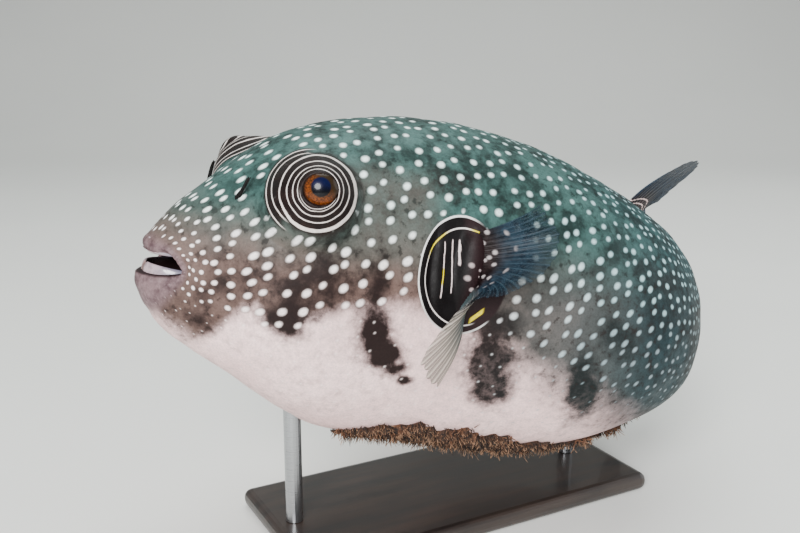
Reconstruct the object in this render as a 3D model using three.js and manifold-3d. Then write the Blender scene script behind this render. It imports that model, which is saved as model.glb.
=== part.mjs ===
// Spotted pufferfish: a still, life-size model, held up by a plain display stand.
//
// The fish is drawn in its own frame: x runs from the snout to the tail, the fish's left is -y and
// z is up, all in millimetres. Its tail is then bent, and the whole fish is tipped nose up on the
// stand. The body is one solid that thin cuts part into snout, head, trunk and tail stalk.
import * as THREE from 'three';
import { ParametricGeometry } from 'three/addons/geometries/ParametricGeometry.js';
import { RoundedBoxGeometry } from 'three/addons/geometries/RoundedBoxGeometry.js';
import { mergeVertices } from 'three/addons/utils/BufferGeometryUtils.js';
import Module from 'manifold-3d';

const wasm = await Module();
wasm.setup();

// ---- driving dimensions ------------------------------------------------------------------------

const BODY_LENGTH = 340;          // standard length: tip of the snout to the end of the tail stalk
const GAP = 0.3;                  // left between touching pieces
const SLIVER = 0.05;              // how closely the mesh keeps to the cut shape when slivers go
const NOSE_UP = THREE.MathUtils.degToRad(10);
const BANK = THREE.MathUtils.degToRad(1.5);

const BEND_START = 170;           // the tail curves to the fish's right from here to its end
const BEND_ANGLE = 0.79;          // radians

// One section of the body a row. `along` is measured over the lips and back, and is negative inside
// the mouth. `level` is the height of the widest point, from 0 at the bottom to 1 at the top,
// `round` is the power of the oval (2 is an ellipse) and `corner` sets the sides of the mouth back.
const SECTIONS = [
  { along: -30, x: 21, top: 1, bottom: -3.5, half: 4, level: 0.5, round: 2, corner: 4 },
  { along: -19, x: 13, top: 3, bottom: -5.5, half: 12, level: 0.5, round: 2.2, corner: 10 },
  { along: -8, x: 4, top: 3.4, bottom: -6, half: 15, level: 0.5, round: 2.3, corner: 14.5 },
  { along: -3, x: 0.4, top: 5, bottom: -7.5, half: 15.8, level: 0.5, round: 2.2, corner: 15 },
  { along: 2, x: 0, top: 7, bottom: -10.5, half: 17, level: 0.48, round: 2.1, corner: 14 },
  { along: 7, x: 4, top: 10.5, bottom: -15, half: 18.5, level: 0.47, round: 2.1, corner: 11.5 },
  { along: 15, x: 11.5, top: 18.8, bottom: -27, half: 21, level: 0.46, round: 2.2, corner: 8 },
  { along: 29, x: 24.5, top: 30, bottom: -37, half: 27.5, level: 0.46, round: 2.3, corner: 4 },
  { along: 44, x: 40, top: 43, bottom: -46, half: 38, level: 0.45, round: 2.4, corner: 1.5 },
  { along: 61, x: 58, top: 55.5, bottom: -57.5, half: 45, level: 0.45, round: 2.4, corner: 0 },
  { along: 85, x: 83, top: 64, bottom: -69.5, half: 50.5, level: 0.46, round: 2.3, corner: 0 },
  { along: 112, x: 112, top: 69, bottom: -74, half: 57, level: 0.46, round: 2.2, corner: 0 },
  { along: 146, x: 146, top: 69, bottom: -78.5, half: 68, level: 0.46, round: 2.1, corner: 0 },
  { along: 180, x: 180, top: 64, bottom: -80, half: 78.5, level: 0.46, round: 2.1, corner: 0 },
  { along: 211, x: 211, top: 54.5, bottom: -74, half: 80, level: 0.46, round: 2.12, corner: 0 },
  { along: 238, x: 238, top: 45, bottom: -68, half: 71, level: 0.46, round: 2.1, corner: 0 },
  { along: 262, x: 262, top: 40, bottom: -52, half: 48.5, level: 0.5, round: 2, corner: 0 },
  { along: 286, x: 286, top: 36.5, bottom: -32, half: 30.5, level: 0.52, round: 2, corner: 0 },
  { along: 309, x: 309, top: 32, bottom: -19, half: 19.5, level: 0.55, round: 2, corner: 0 },
  { along: 340, x: 340, top: 30, bottom: -15, half: 8, level: 0.55, round: 2, corner: 0 },
];
const MOUTH_FLOOR = SECTIONS[0].along;
const UPPER_LIP_BACK = 2.2;       // the lower jaw stands this far ahead of the upper lip
const LIPS_END = 20;
const RINGS_AROUND = 34;
const RINGS_ALONG = 40;

const SNOUT_END = 27;             // where the thin cuts part the body
const HEAD_END = 104;
const TRUNK_END = 262;

const EYE = { x: 53.8, y: 36.8, z: 34.9, mound: 19, reach: 22, radius: 9.4, sunk: 10.5 };
const EYE_OUT = { x: -0.18, y: 0.917, z: 0.356 };
const EYE_ROUNDING = 1.15;        // the mound is fuller the lower this power is

const FIN_EDGE = 0.6;             // thickness of a fin at its margin
const FIN_ROOT = 2.6;             // and where it leaves the flesh

const ROD_RADIUS = 4;
const ROD_X = { front: 66, rear: 224 };
const ROD_SINK = 14;              // how far a rod runs up into the belly
const BASE = { length: 190, width: 84, height: 9, corner: 4, centreX: 150, centreY: 5 };
const BELLY_CLEARANCE = 25;       // from the top of the base to the lowest skin

// ---- shape of the body ---------------------------------------------------------------------------

// The value of one property of the sections, by a smooth cubic through its neighbours.
function sectionValue(along, key) {
  const last = SECTIONS.length - 2;
  const found = SECTIONS.findIndex((row) => row.along > along) - 1;
  const i = found < 0 ? last : Math.min(found, last);
  const step = (n) => SECTIONS[n + 1].along - SECTIONS[n].along;
  const rise = (n) => (SECTIONS[n + 1][key] - SECTIONS[n][key]) / step(n);
  const slope = (n) => {
    if (n === 0) return rise(0);
    if (n > last) return rise(last);
    return (rise(n - 1) * step(n) + rise(n) * step(n - 1)) / (step(n) + step(n - 1));
  };
  const t = (along - SECTIONS[i].along) / step(i);
  const from = SECTIONS[i][key] * (2 * t ** 3 - 3 * t ** 2 + 1);
  const to = SECTIONS[i + 1][key] * (3 * t ** 2 - 2 * t ** 3);
  const out = slope(i) * (t ** 3 - 2 * t ** 2 + t) * step(i);
  const into = slope(i + 1) * (t ** 3 - t ** 2) * step(i);
  return from + to + out + into;
}

const signedPower = (value, power) => Math.sign(value) * Math.abs(value) ** power;

// Bends a point of the straight fish with the tail; past the stalk the line runs on straight.
function bend(point) {
  const bent = Math.min(Math.max(point.x - BEND_START, 0), BODY_LENGTH - BEND_START);
  const past = Math.max(point.x - BODY_LENGTH, 0);
  if (bent === 0) return point;
  const curve = BEND_ANGLE / (BODY_LENGTH - BEND_START);
  const turn = curve * bent;
  const centreX = BEND_START + Math.sin(turn) / curve + past * Math.cos(turn);
  const centreY = (1 - Math.cos(turn)) / curve + past * Math.sin(turn);
  return point.set(centreX - point.y * Math.sin(turn), centreY + point.y * Math.cos(turn), point.z);
}

// Pushes the skin out into a mound round each eye.
function raiseEyeMounds(point) {
  const side = Math.sign(point.y);
  const centre = new THREE.Vector3(EYE.x, side * EYE.y, EYE.z);
  const out = new THREE.Vector3(EYE_OUT.x, side * EYE_OUT.y, EYE_OUT.z).normalize();
  const near = Math.max(1 - (point.distanceTo(centre) / EYE.reach) ** 2, 0);
  return point.addScaledVector(out, EYE.mound * near ** EYE_ROUNDING);
}

// A point of the skin, `grow` outside it. `turn` goes round from the belly.
function skinPoint(along, turn, grow, target) {
  const top = sectionValue(along, 'top');
  const bottom = sectionValue(along, 'bottom');
  const half = sectionValue(along, 'half');
  const round = 2 / sectionValue(along, 'round');
  const level = bottom + sectionValue(along, 'level') * (top - bottom);
  const across = signedPower(Math.sin(turn), round);
  const rise = -signedPower(Math.cos(turn), round);
  const height = (rise > 0 ? top - level : level - bottom) + grow;
  const lip = UPPER_LIP_BACK * THREE.MathUtils.clamp(1 - along / LIPS_END, 0, 1);
  const setBack = sectionValue(along, 'corner') * across ** 2 + lip * Math.max(rise, 0);
  target.set(sectionValue(along, 'x') + setBack, (half + grow) * across, level + height * rise);
  return bend(raiseEyeMounds(target));
}

// Rings stand closest together at the lips and round the eyes.
function ringAlong(fraction) {
  const mouth = 0.16;
  const head = 0.62;
  if (fraction < mouth) return THREE.MathUtils.mapLinear(fraction, 0, mouth, MOUTH_FLOOR, 2);
  if (fraction < head) return THREE.MathUtils.mapLinear(fraction, mouth, head, 2, 116);
  return THREE.MathUtils.mapLinear(fraction, head, 1, 116, BODY_LENGTH);
}

function asSolid(geometry) {
  const bare = new THREE.BufferGeometry();
  bare.setAttribute('position', geometry.getAttribute('position'));
  bare.setIndex(geometry.getIndex());
  const welded = mergeVertices(bare, 1e-4);
  const index = Array.from(welded.getIndex().array);
  const corners = [];
  for (let i = 0; i < index.length; i += 3) {
    const [a, b, c] = index.slice(i, i + 3);
    if (a !== b && b !== c && c !== a) corners.push(a, b, c);
  }
  const solid = new wasm.Manifold(new wasm.Mesh({
    numProp: 3,
    vertProperties: new Float32Array(welded.getAttribute('position').array),
    triVerts: new Uint32Array(corners),
  }));
  return solid.volume() < 0 ? insideOut(solid) : solid;
}

function insideOut(solid) {
  const mesh = solid.getMesh();
  return new wasm.Manifold(new wasm.Mesh({
    numProp: 3,
    vertProperties: mesh.vertProperties,
    triVerts: mesh.triVerts.slice().reverse(),
  }));
}

// The first and last rings close to a point inside the mouth and on the tail stalk.
function bodySolid(grow) {
  const rings = RINGS_ALONG;
  const geometry = new ParametricGeometry((u, v, target) => {
    const ring = THREE.MathUtils.clamp((v * rings - 1) / (rings - 2), 0, 1);
    const along = ringAlong(ring) + (v === 1 ? grow : 0);
    if (v > 0 && v < 1) return skinPoint(along, (u % 1) * 2 * Math.PI, grow, target);
    const level = sectionValue(along, 'bottom') * 0.5 + sectionValue(along, 'top') * 0.5;
    const deeper = v === 0 ? 2 : 1;
    return bend(target.set(sectionValue(along, 'x') + deeper, 0, level));
  }, RINGS_AROUND, rings);
  return asSolid(geometry);
}

// ---- eyes and teeth --------------------------------------------------------------------------------

function eyeCentre(side) {
  const out = new THREE.Vector3(EYE_OUT.x, side * EYE_OUT.y, EYE_OUT.z).normalize();
  return new THREE.Vector3(EYE.x, side * EYE.y, EYE.z).addScaledVector(out, EYE.mound - EYE.sunk);
}

function eyeSolid(side, grow) {
  const centre = eyeCentre(side);
  const ball = new THREE.SphereGeometry(EYE.radius + grow, 16, 11);
  return asSolid(ball.translate(centre.x, centre.y, centre.z));
}

// A beak plate is a band that follows the curve of the jaw, sharp along its biting edge.
const BEAK = {
  upper: { front: 4.2, side: 12.5, depth: 17, root: 8, edge: 1.6, thick: 2.4 },
  lower: { front: 3.4, side: 13, depth: 18, root: -11, edge: -1.4, thick: 2.6 },
};

function beakSolid(plate, grow) {
  const sweep = 1.35;
  const geometry = new ParametricGeometry((u, v, target) => {
    const angle = (v * 2 - 1) * sweep;
    const round = (u % 1) * 2 * Math.PI;
    const closed = v === 0 || v === 1;
    const inward = closed ? 0 : (plate.thick / 2 + grow) * Math.cos(round);
    const mid = (plate.root + plate.edge) / 2;
    const tall = closed ? 0 : (plate.root - plate.edge) / 2 * Math.sin(round);
    const notch = 0.75 + 0.25 * Math.cos(angle);
    const x = plate.front + plate.depth * (1 - Math.cos(angle)) + inward * Math.cos(angle);
    const y = (plate.side - inward) * Math.sin(angle);
    target.set(x, y, mid + tall * notch + Math.sign(tall) * grow);
  }, 10, 14);
  return asSolid(geometry);
}

// ---- fins ------------------------------------------------------------------------------------------

const vector = ([x, y, z]) => new THREE.Vector3(x, y, z);
const smoothLine = (points) => new THREE.CatmullRomCurve3(points.map(vector));

// A fin is ruled between the line of its root and the line of its margin. It bellies out by
// `bulge` halfway along its rays, and thins from FIN_ROOT to FIN_EDGE.
function finSolid({ root, margin, bulge, across, out }) {
  const rootLine = smoothLine(root);
  const marginLine = smoothLine(margin);
  const mid = (a, r) => {
    const point = rootLine.getPoint(a).lerp(marginLine.getPoint(a), r);
    return point.addScaledVector(vector(bulge), Math.sin(Math.PI * r));
  };
  const normal = (a, r) => {
    const near = 0.02;
    const ray = mid(a, Math.min(r + near, 1)).sub(mid(a, Math.max(r - near, 0)));
    const side = mid(Math.min(a + near, 1), r).sub(mid(Math.max(a - near, 0), r));
    return ray.cross(side).normalize();
  };
  const geometry = new ParametricGeometry((u, v, target) => {
    const face = u <= 0.5 ? 1 : -1;
    const a = face > 0 ? u * 2 : 2 - u * 2;
    const rim = v === 0 || v === 1 || a === 0 || a === 1;
    const thick = rim ? 0 : THREE.MathUtils.lerp(FIN_ROOT, FIN_EDGE, Math.sqrt(v));
    target.copy(mid(a, v)).addScaledVector(normal(a, v), face * thick / 2);
    return bend(target);
  }, across * 2, out);
  return asSolid(geometry);
}

const LEFT_PECTORAL = {
  root: [[119, -53, 28], [121.5, -58, 20], [122, -59, 13], [121, -59, 6], [118, -58, -1]],
  margin: [[134, -75, 46], [144, -78, 36], [139, -83, 24], [118, -86, 12], [111, -71, 4],
    [93, -74, -20], [104, -71, -32]],
  bulge: [2, -3, 1],
  across: 16,
  out: 7,
};
const RIGHT_PECTORAL = {
  root: [[119, 53, 28], [121.5, 58, 20], [122, 59, 13], [121, 59, 6], [118, 58, -1]],
  margin: [[140, 78, 50], [152, 86, 38], [156, 88, 22], [150, 86, 4], [134, 80, -10]],
  bulge: [3, 2, 1],
  across: 12,
  out: 6,
};
const DORSAL = {
  root: [[266, 0, 34], [275, 0, 33], [285, 0, 31], [297, 0, 27]],
  margin: [[296, -15, 62], [311, -22, 69], [325, -26, 68], [317, -20, 58], [304, -10, 43]],
  bulge: [-2, 2, 1],
  across: 9,
  out: 6,
};
const ANAL = {
  root: [[280, 0, -30], [288, 0, -27], [296, 0, -22], [304, 0, -17]],
  margin: [[300, -7, -62], [313, -10, -64], [323, -11, -58], [324, -9, -47], [318, -6, -37]],
  bulge: [-1, 1.5, 0],
  across: 10,
  out: 7,
};
const CAUDAL = {
  root: [[334, 0, 27], [336, 0, 17], [337, 0, 7], [336, 0, -3], [334, 0, -12]],
  margin: [[396, 3, 35], [410, 5, 24], [415, 6, 7], [410, 5, -10], [396, 3, -21]],
  bulge: [0, -1.5, 0],
  across: 12,
  out: 7,
};

// The fleshy lobe that carries the rays of a pectoral fin.
function pectoralLobe(side) {
  const lobe = new THREE.SphereGeometry(1, 14, 10);
  lobe.scale(7.5, 8, 18.5);
  return asSolid(lobe.translate(121, side * 53.5, 13));
}

function noseFlap(side) {
  return finSolid({
    root: [[30, side * 17.6, 27.6], [31.3, side * 18.2, 28.4], [32.6, side * 18.8, 29.2]],
    margin: [[32.4, side * 21.4, 37.6], [33.8, side * 22.2, 39], [35.2, side * 22.4, 38]],
    bulge: [0, side * 0.8, 0],
    across: 4,
    out: 4,
  });
}

// ---- what grows on the belly, and the stand ----------------------------------------------------------

const GROWTH = { front: 90, rear: 226, centreY: -16, centreZ: -84, half: 19, tall: 30, depth: 3.2 };

function bellyGrowth() {
  const length = GROWTH.rear - GROWTH.front;
  const patch = new THREE.SphereGeometry(1, 28, 16);
  patch.scale(length / 2, GROWTH.half, GROWTH.tall);
  const place = patch.translate((GROWTH.front + GROWTH.rear) / 2, GROWTH.centreY, GROWTH.centreZ);
  return bodySolid(GROWTH.depth).subtract(bodySolid(GAP)).intersect(asSolid(place));
}

function rodSolid({ x, foot, head }, grow) {
  const radius = ROD_RADIUS + grow;
  const rod = new THREE.CylinderGeometry(radius, radius, head + grow - foot, 20);
  rod.rotateX(Math.PI / 2);
  return asSolid(rod.translate(x, BASE.centreY, (head + grow + foot) / 2));
}

// ---- assembly ----------------------------------------------------------------------------------------

const tip = new THREE.Matrix4().makeRotationY(NOSE_UP);
const roll = new THREE.Matrix4().makeRotationX(BANK);
const pose = tip.multiply(roll);

const group = new THREE.Group();

function addNode(name, solid, look) {
  const mesh = solid.asOriginal().simplify(SLIVER).getMesh();
  const geometry = new THREE.BufferGeometry();
  geometry.setAttribute('position', new THREE.BufferAttribute(mesh.vertProperties, 3));
  geometry.setIndex(new THREE.BufferAttribute(mesh.triVerts, 1));
  geometry.computeVertexNormals();
  const node = new THREE.Mesh(geometry, new THREE.MeshStandardMaterial(look));
  node.name = name;
  group.add(node);
}

const SKIN = { color: 0x6f6c5f, roughness: 0.5, metalness: 0 };
const FIN = { color: 0x3f5057, roughness: 0.45, metalness: 0 };
const EYEBALL = { color: 0x5a2a10, roughness: 0.1, metalness: 0 };
const TOOTH = { color: 0xe0dbd2, roughness: 0.35, metalness: 0 };
const GROWN = { color: 0x5c3d2c, roughness: 0.95, metalness: 0 };
const STAND = { color: 0x1d1d1f, roughness: 0.45, metalness: 0 };
const ROD = { color: 0x8d9094, roughness: 0.3, metalness: 1 };

const posed = (solid) => solid.transform(pose.elements);
const body = bodySolid(0);
const bodyWithGap = bodySolid(GAP);

let flesh = posed(body);
for (const side of [-1, 1]) {
  flesh = flesh.subtract(posed(eyeSolid(side, GAP)));
}
for (const plate of [BEAK.upper, BEAK.lower]) {
  flesh = flesh.subtract(posed(beakSolid(plate, GAP)));
}

// The stand: a rod rises to each end of the belly from a flat base.
const lowest = posed(body).boundingBox().min[2];
const baseTop = lowest - BELLY_CLEARANCE;
function bellyHeight(x) {
  const probe = rodSolid({ x, foot: baseTop, head: 0 }, 0).intersect(posed(body));
  return probe.boundingBox().min[2];
}
const rods = Object.entries(ROD_X).map(([end, x]) => ({
  name: `stand_rod_${end}`,
  foot: baseTop,
  head: bellyHeight(x) + ROD_SINK,
  x,
}));
for (const rod of rods) {
  flesh = flesh.subtract(rodSolid(rod, GAP));
}

// Thin cuts, each square to the line of the back, part the flesh into named lengths.
function cutPlane(x) {
  const at = bend(new THREE.Vector3(x, 0, 0));
  const ahead = bend(new THREE.Vector3(x + 0.01, 0, 0)).sub(at).normalize();
  const normal = ahead.transformDirection(pose);
  return { normal, offset: normal.dot(at.applyMatrix4(pose)) };
}
function behind(solid, x) {
  const { normal, offset } = cutPlane(x);
  return solid.trimByPlane(normal.toArray(), offset + GAP / 2);
}
function ahead(solid, x) {
  const { normal, offset } = cutPlane(x);
  return solid.trimByPlane(normal.negate().toArray(), -offset + GAP / 2);
}

addNode('snout', ahead(flesh, SNOUT_END), SKIN);
addNode('head', ahead(behind(flesh, SNOUT_END), HEAD_END), SKIN);
addNode('trunk', ahead(behind(flesh, HEAD_END), TRUNK_END), SKIN);
addNode('tail_stalk', behind(flesh, TRUNK_END), SKIN);

for (const [name, side] of [['left', -1], ['right', 1]]) {
  addNode(`eye_${name}`, posed(eyeSolid(side, 0)), EYEBALL);
  addNode(`nose_flap_${name}`, posed(noseFlap(side).subtract(bodyWithGap)), SKIN);
  const blade = finSolid(name === 'left' ? LEFT_PECTORAL : RIGHT_PECTORAL);
  const whole = blade.add(pectoralLobe(side));
  addNode(`pectoral_fin_${name}`, posed(whole.subtract(bodyWithGap)), FIN);
}
addNode('beak_upper', posed(beakSolid(BEAK.upper, 0)), TOOTH);
addNode('beak_lower', posed(beakSolid(BEAK.lower, 0)), TOOTH);
addNode('dorsal_fin', posed(finSolid(DORSAL).subtract(bodyWithGap)), FIN);
addNode('anal_fin', posed(finSolid(ANAL).subtract(bodyWithGap)), FIN);
addNode('caudal_fin', posed(finSolid(CAUDAL).subtract(bodyWithGap)), FIN);
addNode('belly_growth', posed(bellyGrowth()), GROWN);

for (const rod of rods) {
  addNode(rod.name, rodSolid(rod, 0), ROD);
}
const plate = new RoundedBoxGeometry(BASE.length, BASE.width, BASE.height, 2, BASE.corner);
plate.translate(BASE.centreX, BASE.centreY, baseTop - GAP - BASE.height / 2);
addNode('stand_base', asSolid(plate), STAND);

// The origin is the middle of the foot of the whole model.
const box = new THREE.Box3().setFromObject(group);
const middle = box.getCenter(new THREE.Vector3());
group.position.set(-middle.x, -middle.y, -box.min.z);

export default group;
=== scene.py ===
# %% [markdown]
# # A spotted pufferfish on a display stand
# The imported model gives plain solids: a body in four lengths, eyes, teeth, fins, the crust on the
# belly and a stand. This script dresses them: it loads the model as a fixed frame, builds one
# skin and finer fins, eyes and teeth over it, and gives every surface a procedural material.

# %% Load the fixed frame
import math

import bmesh
import bpy
import numpy as np
from mathutils import Matrix, Vector


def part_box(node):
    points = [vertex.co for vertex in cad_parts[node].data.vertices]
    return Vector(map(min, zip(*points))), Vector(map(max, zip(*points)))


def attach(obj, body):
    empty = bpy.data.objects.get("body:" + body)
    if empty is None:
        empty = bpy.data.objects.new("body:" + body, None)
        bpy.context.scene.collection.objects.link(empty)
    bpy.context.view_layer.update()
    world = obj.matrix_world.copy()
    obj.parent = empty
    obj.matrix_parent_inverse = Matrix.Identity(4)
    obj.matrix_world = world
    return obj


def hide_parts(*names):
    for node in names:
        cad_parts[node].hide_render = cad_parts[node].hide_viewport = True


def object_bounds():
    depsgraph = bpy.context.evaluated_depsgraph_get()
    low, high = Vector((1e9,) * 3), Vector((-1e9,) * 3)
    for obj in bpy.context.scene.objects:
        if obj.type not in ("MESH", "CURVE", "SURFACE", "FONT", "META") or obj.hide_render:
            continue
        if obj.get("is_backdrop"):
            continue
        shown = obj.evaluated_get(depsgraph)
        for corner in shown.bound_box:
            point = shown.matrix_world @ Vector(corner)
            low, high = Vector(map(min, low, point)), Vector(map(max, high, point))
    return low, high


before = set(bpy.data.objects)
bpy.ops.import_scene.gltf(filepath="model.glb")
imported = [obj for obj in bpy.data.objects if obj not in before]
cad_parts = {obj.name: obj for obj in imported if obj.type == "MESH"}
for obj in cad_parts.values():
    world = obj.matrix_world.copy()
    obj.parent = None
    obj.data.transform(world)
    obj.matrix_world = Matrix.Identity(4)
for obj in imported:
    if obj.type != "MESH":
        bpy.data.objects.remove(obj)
cad_low, cad_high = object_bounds()
print("model box in metres:", [round(v, 4) for v in (*cad_low, *cad_high)])

# %% [markdown]
# ## The fish's own frame
# The fish is measured in millimetres before it is tipped on its stand: x runs from the snout to
# the tail, its left is -y and z is up. A body like this can be sculpted, or lofted through
# sections. Sections are used here because the solids were made from the same ones. The eyes
# stand on mounds, and the tail is bent last, so everything else is worked out on a straight fish.

# %% Sections of the body
SECTION_KEYS = ("along", "x", "top", "bottom", "half", "level", "round", "corner")
SECTIONS = np.array([
    (-30, 21, 1, -3.5, 4, 0.5, 2, 4),
    (-19, 13, 3, -5.5, 12, 0.5, 2.2, 10),
    (-8, 4, 3.4, -6, 15, 0.5, 2.3, 14.5),
    (-3, 0.4, 5, -7.5, 15.8, 0.5, 2.2, 15),
    (2, 0, 7, -10.5, 17, 0.48, 2.1, 14),
    (7, 4, 10.5, -15, 18.5, 0.47, 2.1, 11.5),
    (15, 11.5, 18.8, -27, 21, 0.46, 2.2, 8),
    (29, 24.5, 30, -37, 27.5, 0.46, 2.3, 4),
    (44, 40, 43, -46, 38, 0.45, 2.4, 1.5),
    (61, 58, 55.5, -57.5, 45, 0.45, 2.4, 0),
    (85, 83, 64, -69.5, 50.5, 0.46, 2.3, 0),
    (112, 112, 69, -74, 57, 0.46, 2.2, 0),
    (146, 146, 69, -78.5, 68, 0.46, 2.1, 0),
    (180, 180, 64, -80, 78.5, 0.46, 2.1, 0),
    (211, 211, 54.5, -74, 80, 0.46, 2.12, 0),
    (238, 238, 45, -68, 71, 0.46, 2.1, 0),
    (262, 262, 40, -52, 48.5, 0.5, 2, 0),
    (286, 286, 36.5, -32, 30.5, 0.52, 2, 0),
    (309, 309, 32, -19, 19.5, 0.55, 2, 0),
    (340, 340, 30, -15, 8, 0.55, 2, 0),
])
UPPER_LIP_BACK = 2.2  # the lower jaw stands this far ahead of the upper lip
LIPS_END = 20


def section(along, key):
    """One property of the body's sections, by a smooth cubic through its neighbours."""
    known, values = SECTIONS[:, 0], SECTIONS[:, SECTION_KEYS.index(key)]
    step = np.diff(known)
    rise = np.diff(values) / step
    inner = (rise[:-1] * step[1:] + rise[1:] * step[:-1]) / (step[1:] + step[:-1])
    slope = np.concatenate([rise[:1], inner, rise[-1:]])
    i = np.clip(np.searchsorted(known, along, side="right") - 1, 0, len(step) - 1)
    t = (along - known[i]) / step[i]
    held = values[i] * (2 * t**3 - 3 * t**2 + 1) + values[i + 1] * (3 * t**2 - 2 * t**3)
    out = slope[i] * (t**3 - 2 * t**2 + t) + slope[i + 1] * (t**3 - t**2)
    return held + out * step[i]


print("body sections:", len(SECTIONS))

# %% Eye mounds and the smooth skin
EYE = np.array([53.8, 36.8, 34.9])
EYE_OUT = np.array([-0.18, 0.917, 0.356])
EYE_MOUND = 19
EYE_REACH = 22
EYE_ROUNDING = 1.15
EYE_SUNK = 10.5
EYE_RADIUS = 8.8
EYEBALL = np.array([53.6, 46.0, 39.1])
EYE_LOOK = np.array([-0.41, 0.90, 0.12])


def signed_power(value, power):
    return np.sign(value) * np.abs(value) ** power


def sided(vector, side):
    """A direction or place given for the fish's right, or its mirror image on the left."""
    return np.asarray(vector, float) * (1, side, 1)


def unit(vector):
    return vector / np.maximum(np.linalg.norm(vector, axis=-1, keepdims=True), 1e-9)


def smooth_skin(along, turn, grow=0.0, mounds=(-1, 1)):
    """Places on the straight fish's skin. `turn` goes round from the belly."""
    top, bottom = section(along, "top"), section(along, "bottom")
    power = 2 / section(along, "round")
    level = bottom + section(along, "level") * (top - bottom)
    across = signed_power(np.sin(turn), power)
    rise = -signed_power(np.cos(turn), power)
    height = np.where(rise > 0, top - level, level - bottom) + grow
    lip = UPPER_LIP_BACK * np.clip(1 - along / LIPS_END, 0, 1)
    set_back = section(along, "corner") * across**2 + lip * np.maximum(rise, 0)
    y = (section(along, "half") + grow) * across
    place = np.stack([section(along, "x") + set_back, y, level + height * rise], -1)
    for side in mounds:
        far = np.linalg.norm(place - sided(EYE, side), axis=-1) / EYE_REACH
        mound = EYE_MOUND * np.maximum(1 - far**2, 0) ** EYE_ROUNDING * (np.sign(y) == side)
        place = place + mound[..., None] * unit(sided(EYE_OUT, side))
    return place


print("eye mounds push the skin out by at most", EYE_MOUND, "mm")

# %% Bend of the tail and the pose on the stand
BODY_LENGTH = 340
BEND_START = 170
BEND_ANGLE = 0.79
NOSE_UP = math.radians(10)
BANK = math.radians(1.5)
MM = 0.001


def bend(place):
    """Curves the straight fish's tail to its right."""
    x, y, z = place[..., 0], place[..., 1], place[..., 2]
    curve = BEND_ANGLE / (BODY_LENGTH - BEND_START)
    turn = curve * np.clip(x - BEND_START, 0, BODY_LENGTH - BEND_START)
    past = np.maximum(x - BODY_LENGTH, 0)
    before = np.minimum(x, BEND_START)
    bent_x = before + np.sin(turn) / curve + past * np.cos(turn) - y * np.sin(turn)
    bent_y = (1 - np.cos(turn)) / curve + past * np.sin(turn) + y * np.cos(turn)
    return np.stack([bent_x, bent_y, z], -1)


POSE = np.array(Matrix.Rotation(NOSE_UP, 3, "Y") @ Matrix.Rotation(BANK, 3, "X"))
eye_low, eye_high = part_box("eye_left")
left_eye = sided(EYE, -1) + (EYE_MOUND - EYE_SUNK) * unit(sided(EYE_OUT, -1))
SHIFT = np.array((eye_low + eye_high) / 2) - POSE @ left_eye * MM


def stand_frame(place):
    """Takes places on the straight fish, in millimetres, to the model's frame in metres."""
    return bend(place) @ POSE.T * MM + SHIFT


print("shift to the stand in mm:", (SHIFT / MM).round(1))

# %% [markdown]
# ## Camera
# The fish is seen from its front left and a little above, so the camera stands there. It could
# come close with a wide lens, but that would swell the snout; a short zoom keeps the true shape.

# %% Camera
CAMERA_PLACE = np.array([-265.9, -387.7, 231.1]) * MM
LOOK_TURN = math.radians(28.52)
LOOK_DOWN = math.radians(14.04)
CAMERA_ROLL = math.radians(0.16)
LENS = 42.75
SENSOR_WIDTH = 36


def placed(name, data):
    """An object for a mesh, a camera or a lamp, left at the origin."""
    found = bpy.data.objects.new(name, data)
    bpy.context.collection.objects.link(found)
    return found


camera_data = bpy.data.cameras.new("camera")
camera_data.lens = LENS
camera_data.sensor_width = SENSOR_WIDTH
camera_data.clip_start = 0.01
camera_data.clip_end = 50
camera = placed("camera", camera_data)
level_look = Matrix.Rotation(-LOOK_TURN, 3, "Z") @ Matrix.Rotation(math.pi / 2 - LOOK_DOWN, 3, "X")
camera_turn = level_look @ Matrix.Rotation(CAMERA_ROLL, 3, "Z")
camera.matrix_world = Matrix.Translation(CAMERA_PLACE) @ camera_turn.to_4x4()
bpy.context.scene.camera = camera
print("camera at", (CAMERA_PLACE / MM).round(1), "mm, lens", LENS)

# %% [markdown]
# ## Wiring materials
# Every finish here is procedural: noise, ramps and mixes that are wired from code. The same
# nodes could be placed by hand in the editor. A few short helpers keep each material down to
# the lines that say something about the fish, and take colours as they are read off a screen.

# %% Colours
def colour(red, green, blue):
    """A colour given as 0 to 255 screen values, as the shader's linear one."""
    def linear(value):
        value = value / 255
        return value / 12.92 if value <= 0.04045 else ((value + 0.055) / 1.055) ** 2.4
    return (linear(red), linear(green), linear(blue), 1.0)


def tones(**screen):
    """Several named colours, each given as screen values."""
    return {name: colour(*values) for name, values in screen.items()}


print("middle grey for a shader:", round(colour(128, 128, 128)[0], 3))

# %% Adding and linking nodes
def plug(tree, value, socket):
    """Links another node's socket in, or sets a plain number or colour."""
    if isinstance(value, bpy.types.NodeSocket):
        tree.links.new(value, socket)
    else:
        socket.default_value = value


def add(tree, kind, inputs=None, **settings):
    """A shader node with its settings and its inputs."""
    node = tree.nodes.new(kind)
    for key, value in settings.items():
        setattr(node, key, value)
    for name, value in (inputs or {}).items():
        plug(tree, value, node.inputs[name])
    return node


print("types of shader node by name:", sum(kind.startswith("ShaderNode") for kind in dir(bpy.types)))

# %% What a material reads and mixes
def split(tree, vector):
    return add(tree, "ShaderNodeSeparateXYZ", {"Vector": vector}).outputs


def attribute(tree, name, output="Fac"):
    """What the points of the piece keep under a name: a number, or with "Vector" three."""
    return add(tree, "ShaderNodeAttribute", attribute_name=name).outputs[output]


def object_place(tree):
    return add(tree, "ShaderNodeTexCoord").outputs["Object"]


def squeezed(tree, vector, scale):
    """The same place, stretched by a factor on each axis."""
    return add(tree, "ShaderNodeMapping", {"Vector": vector, "Scale": scale}).outputs[0]


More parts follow.
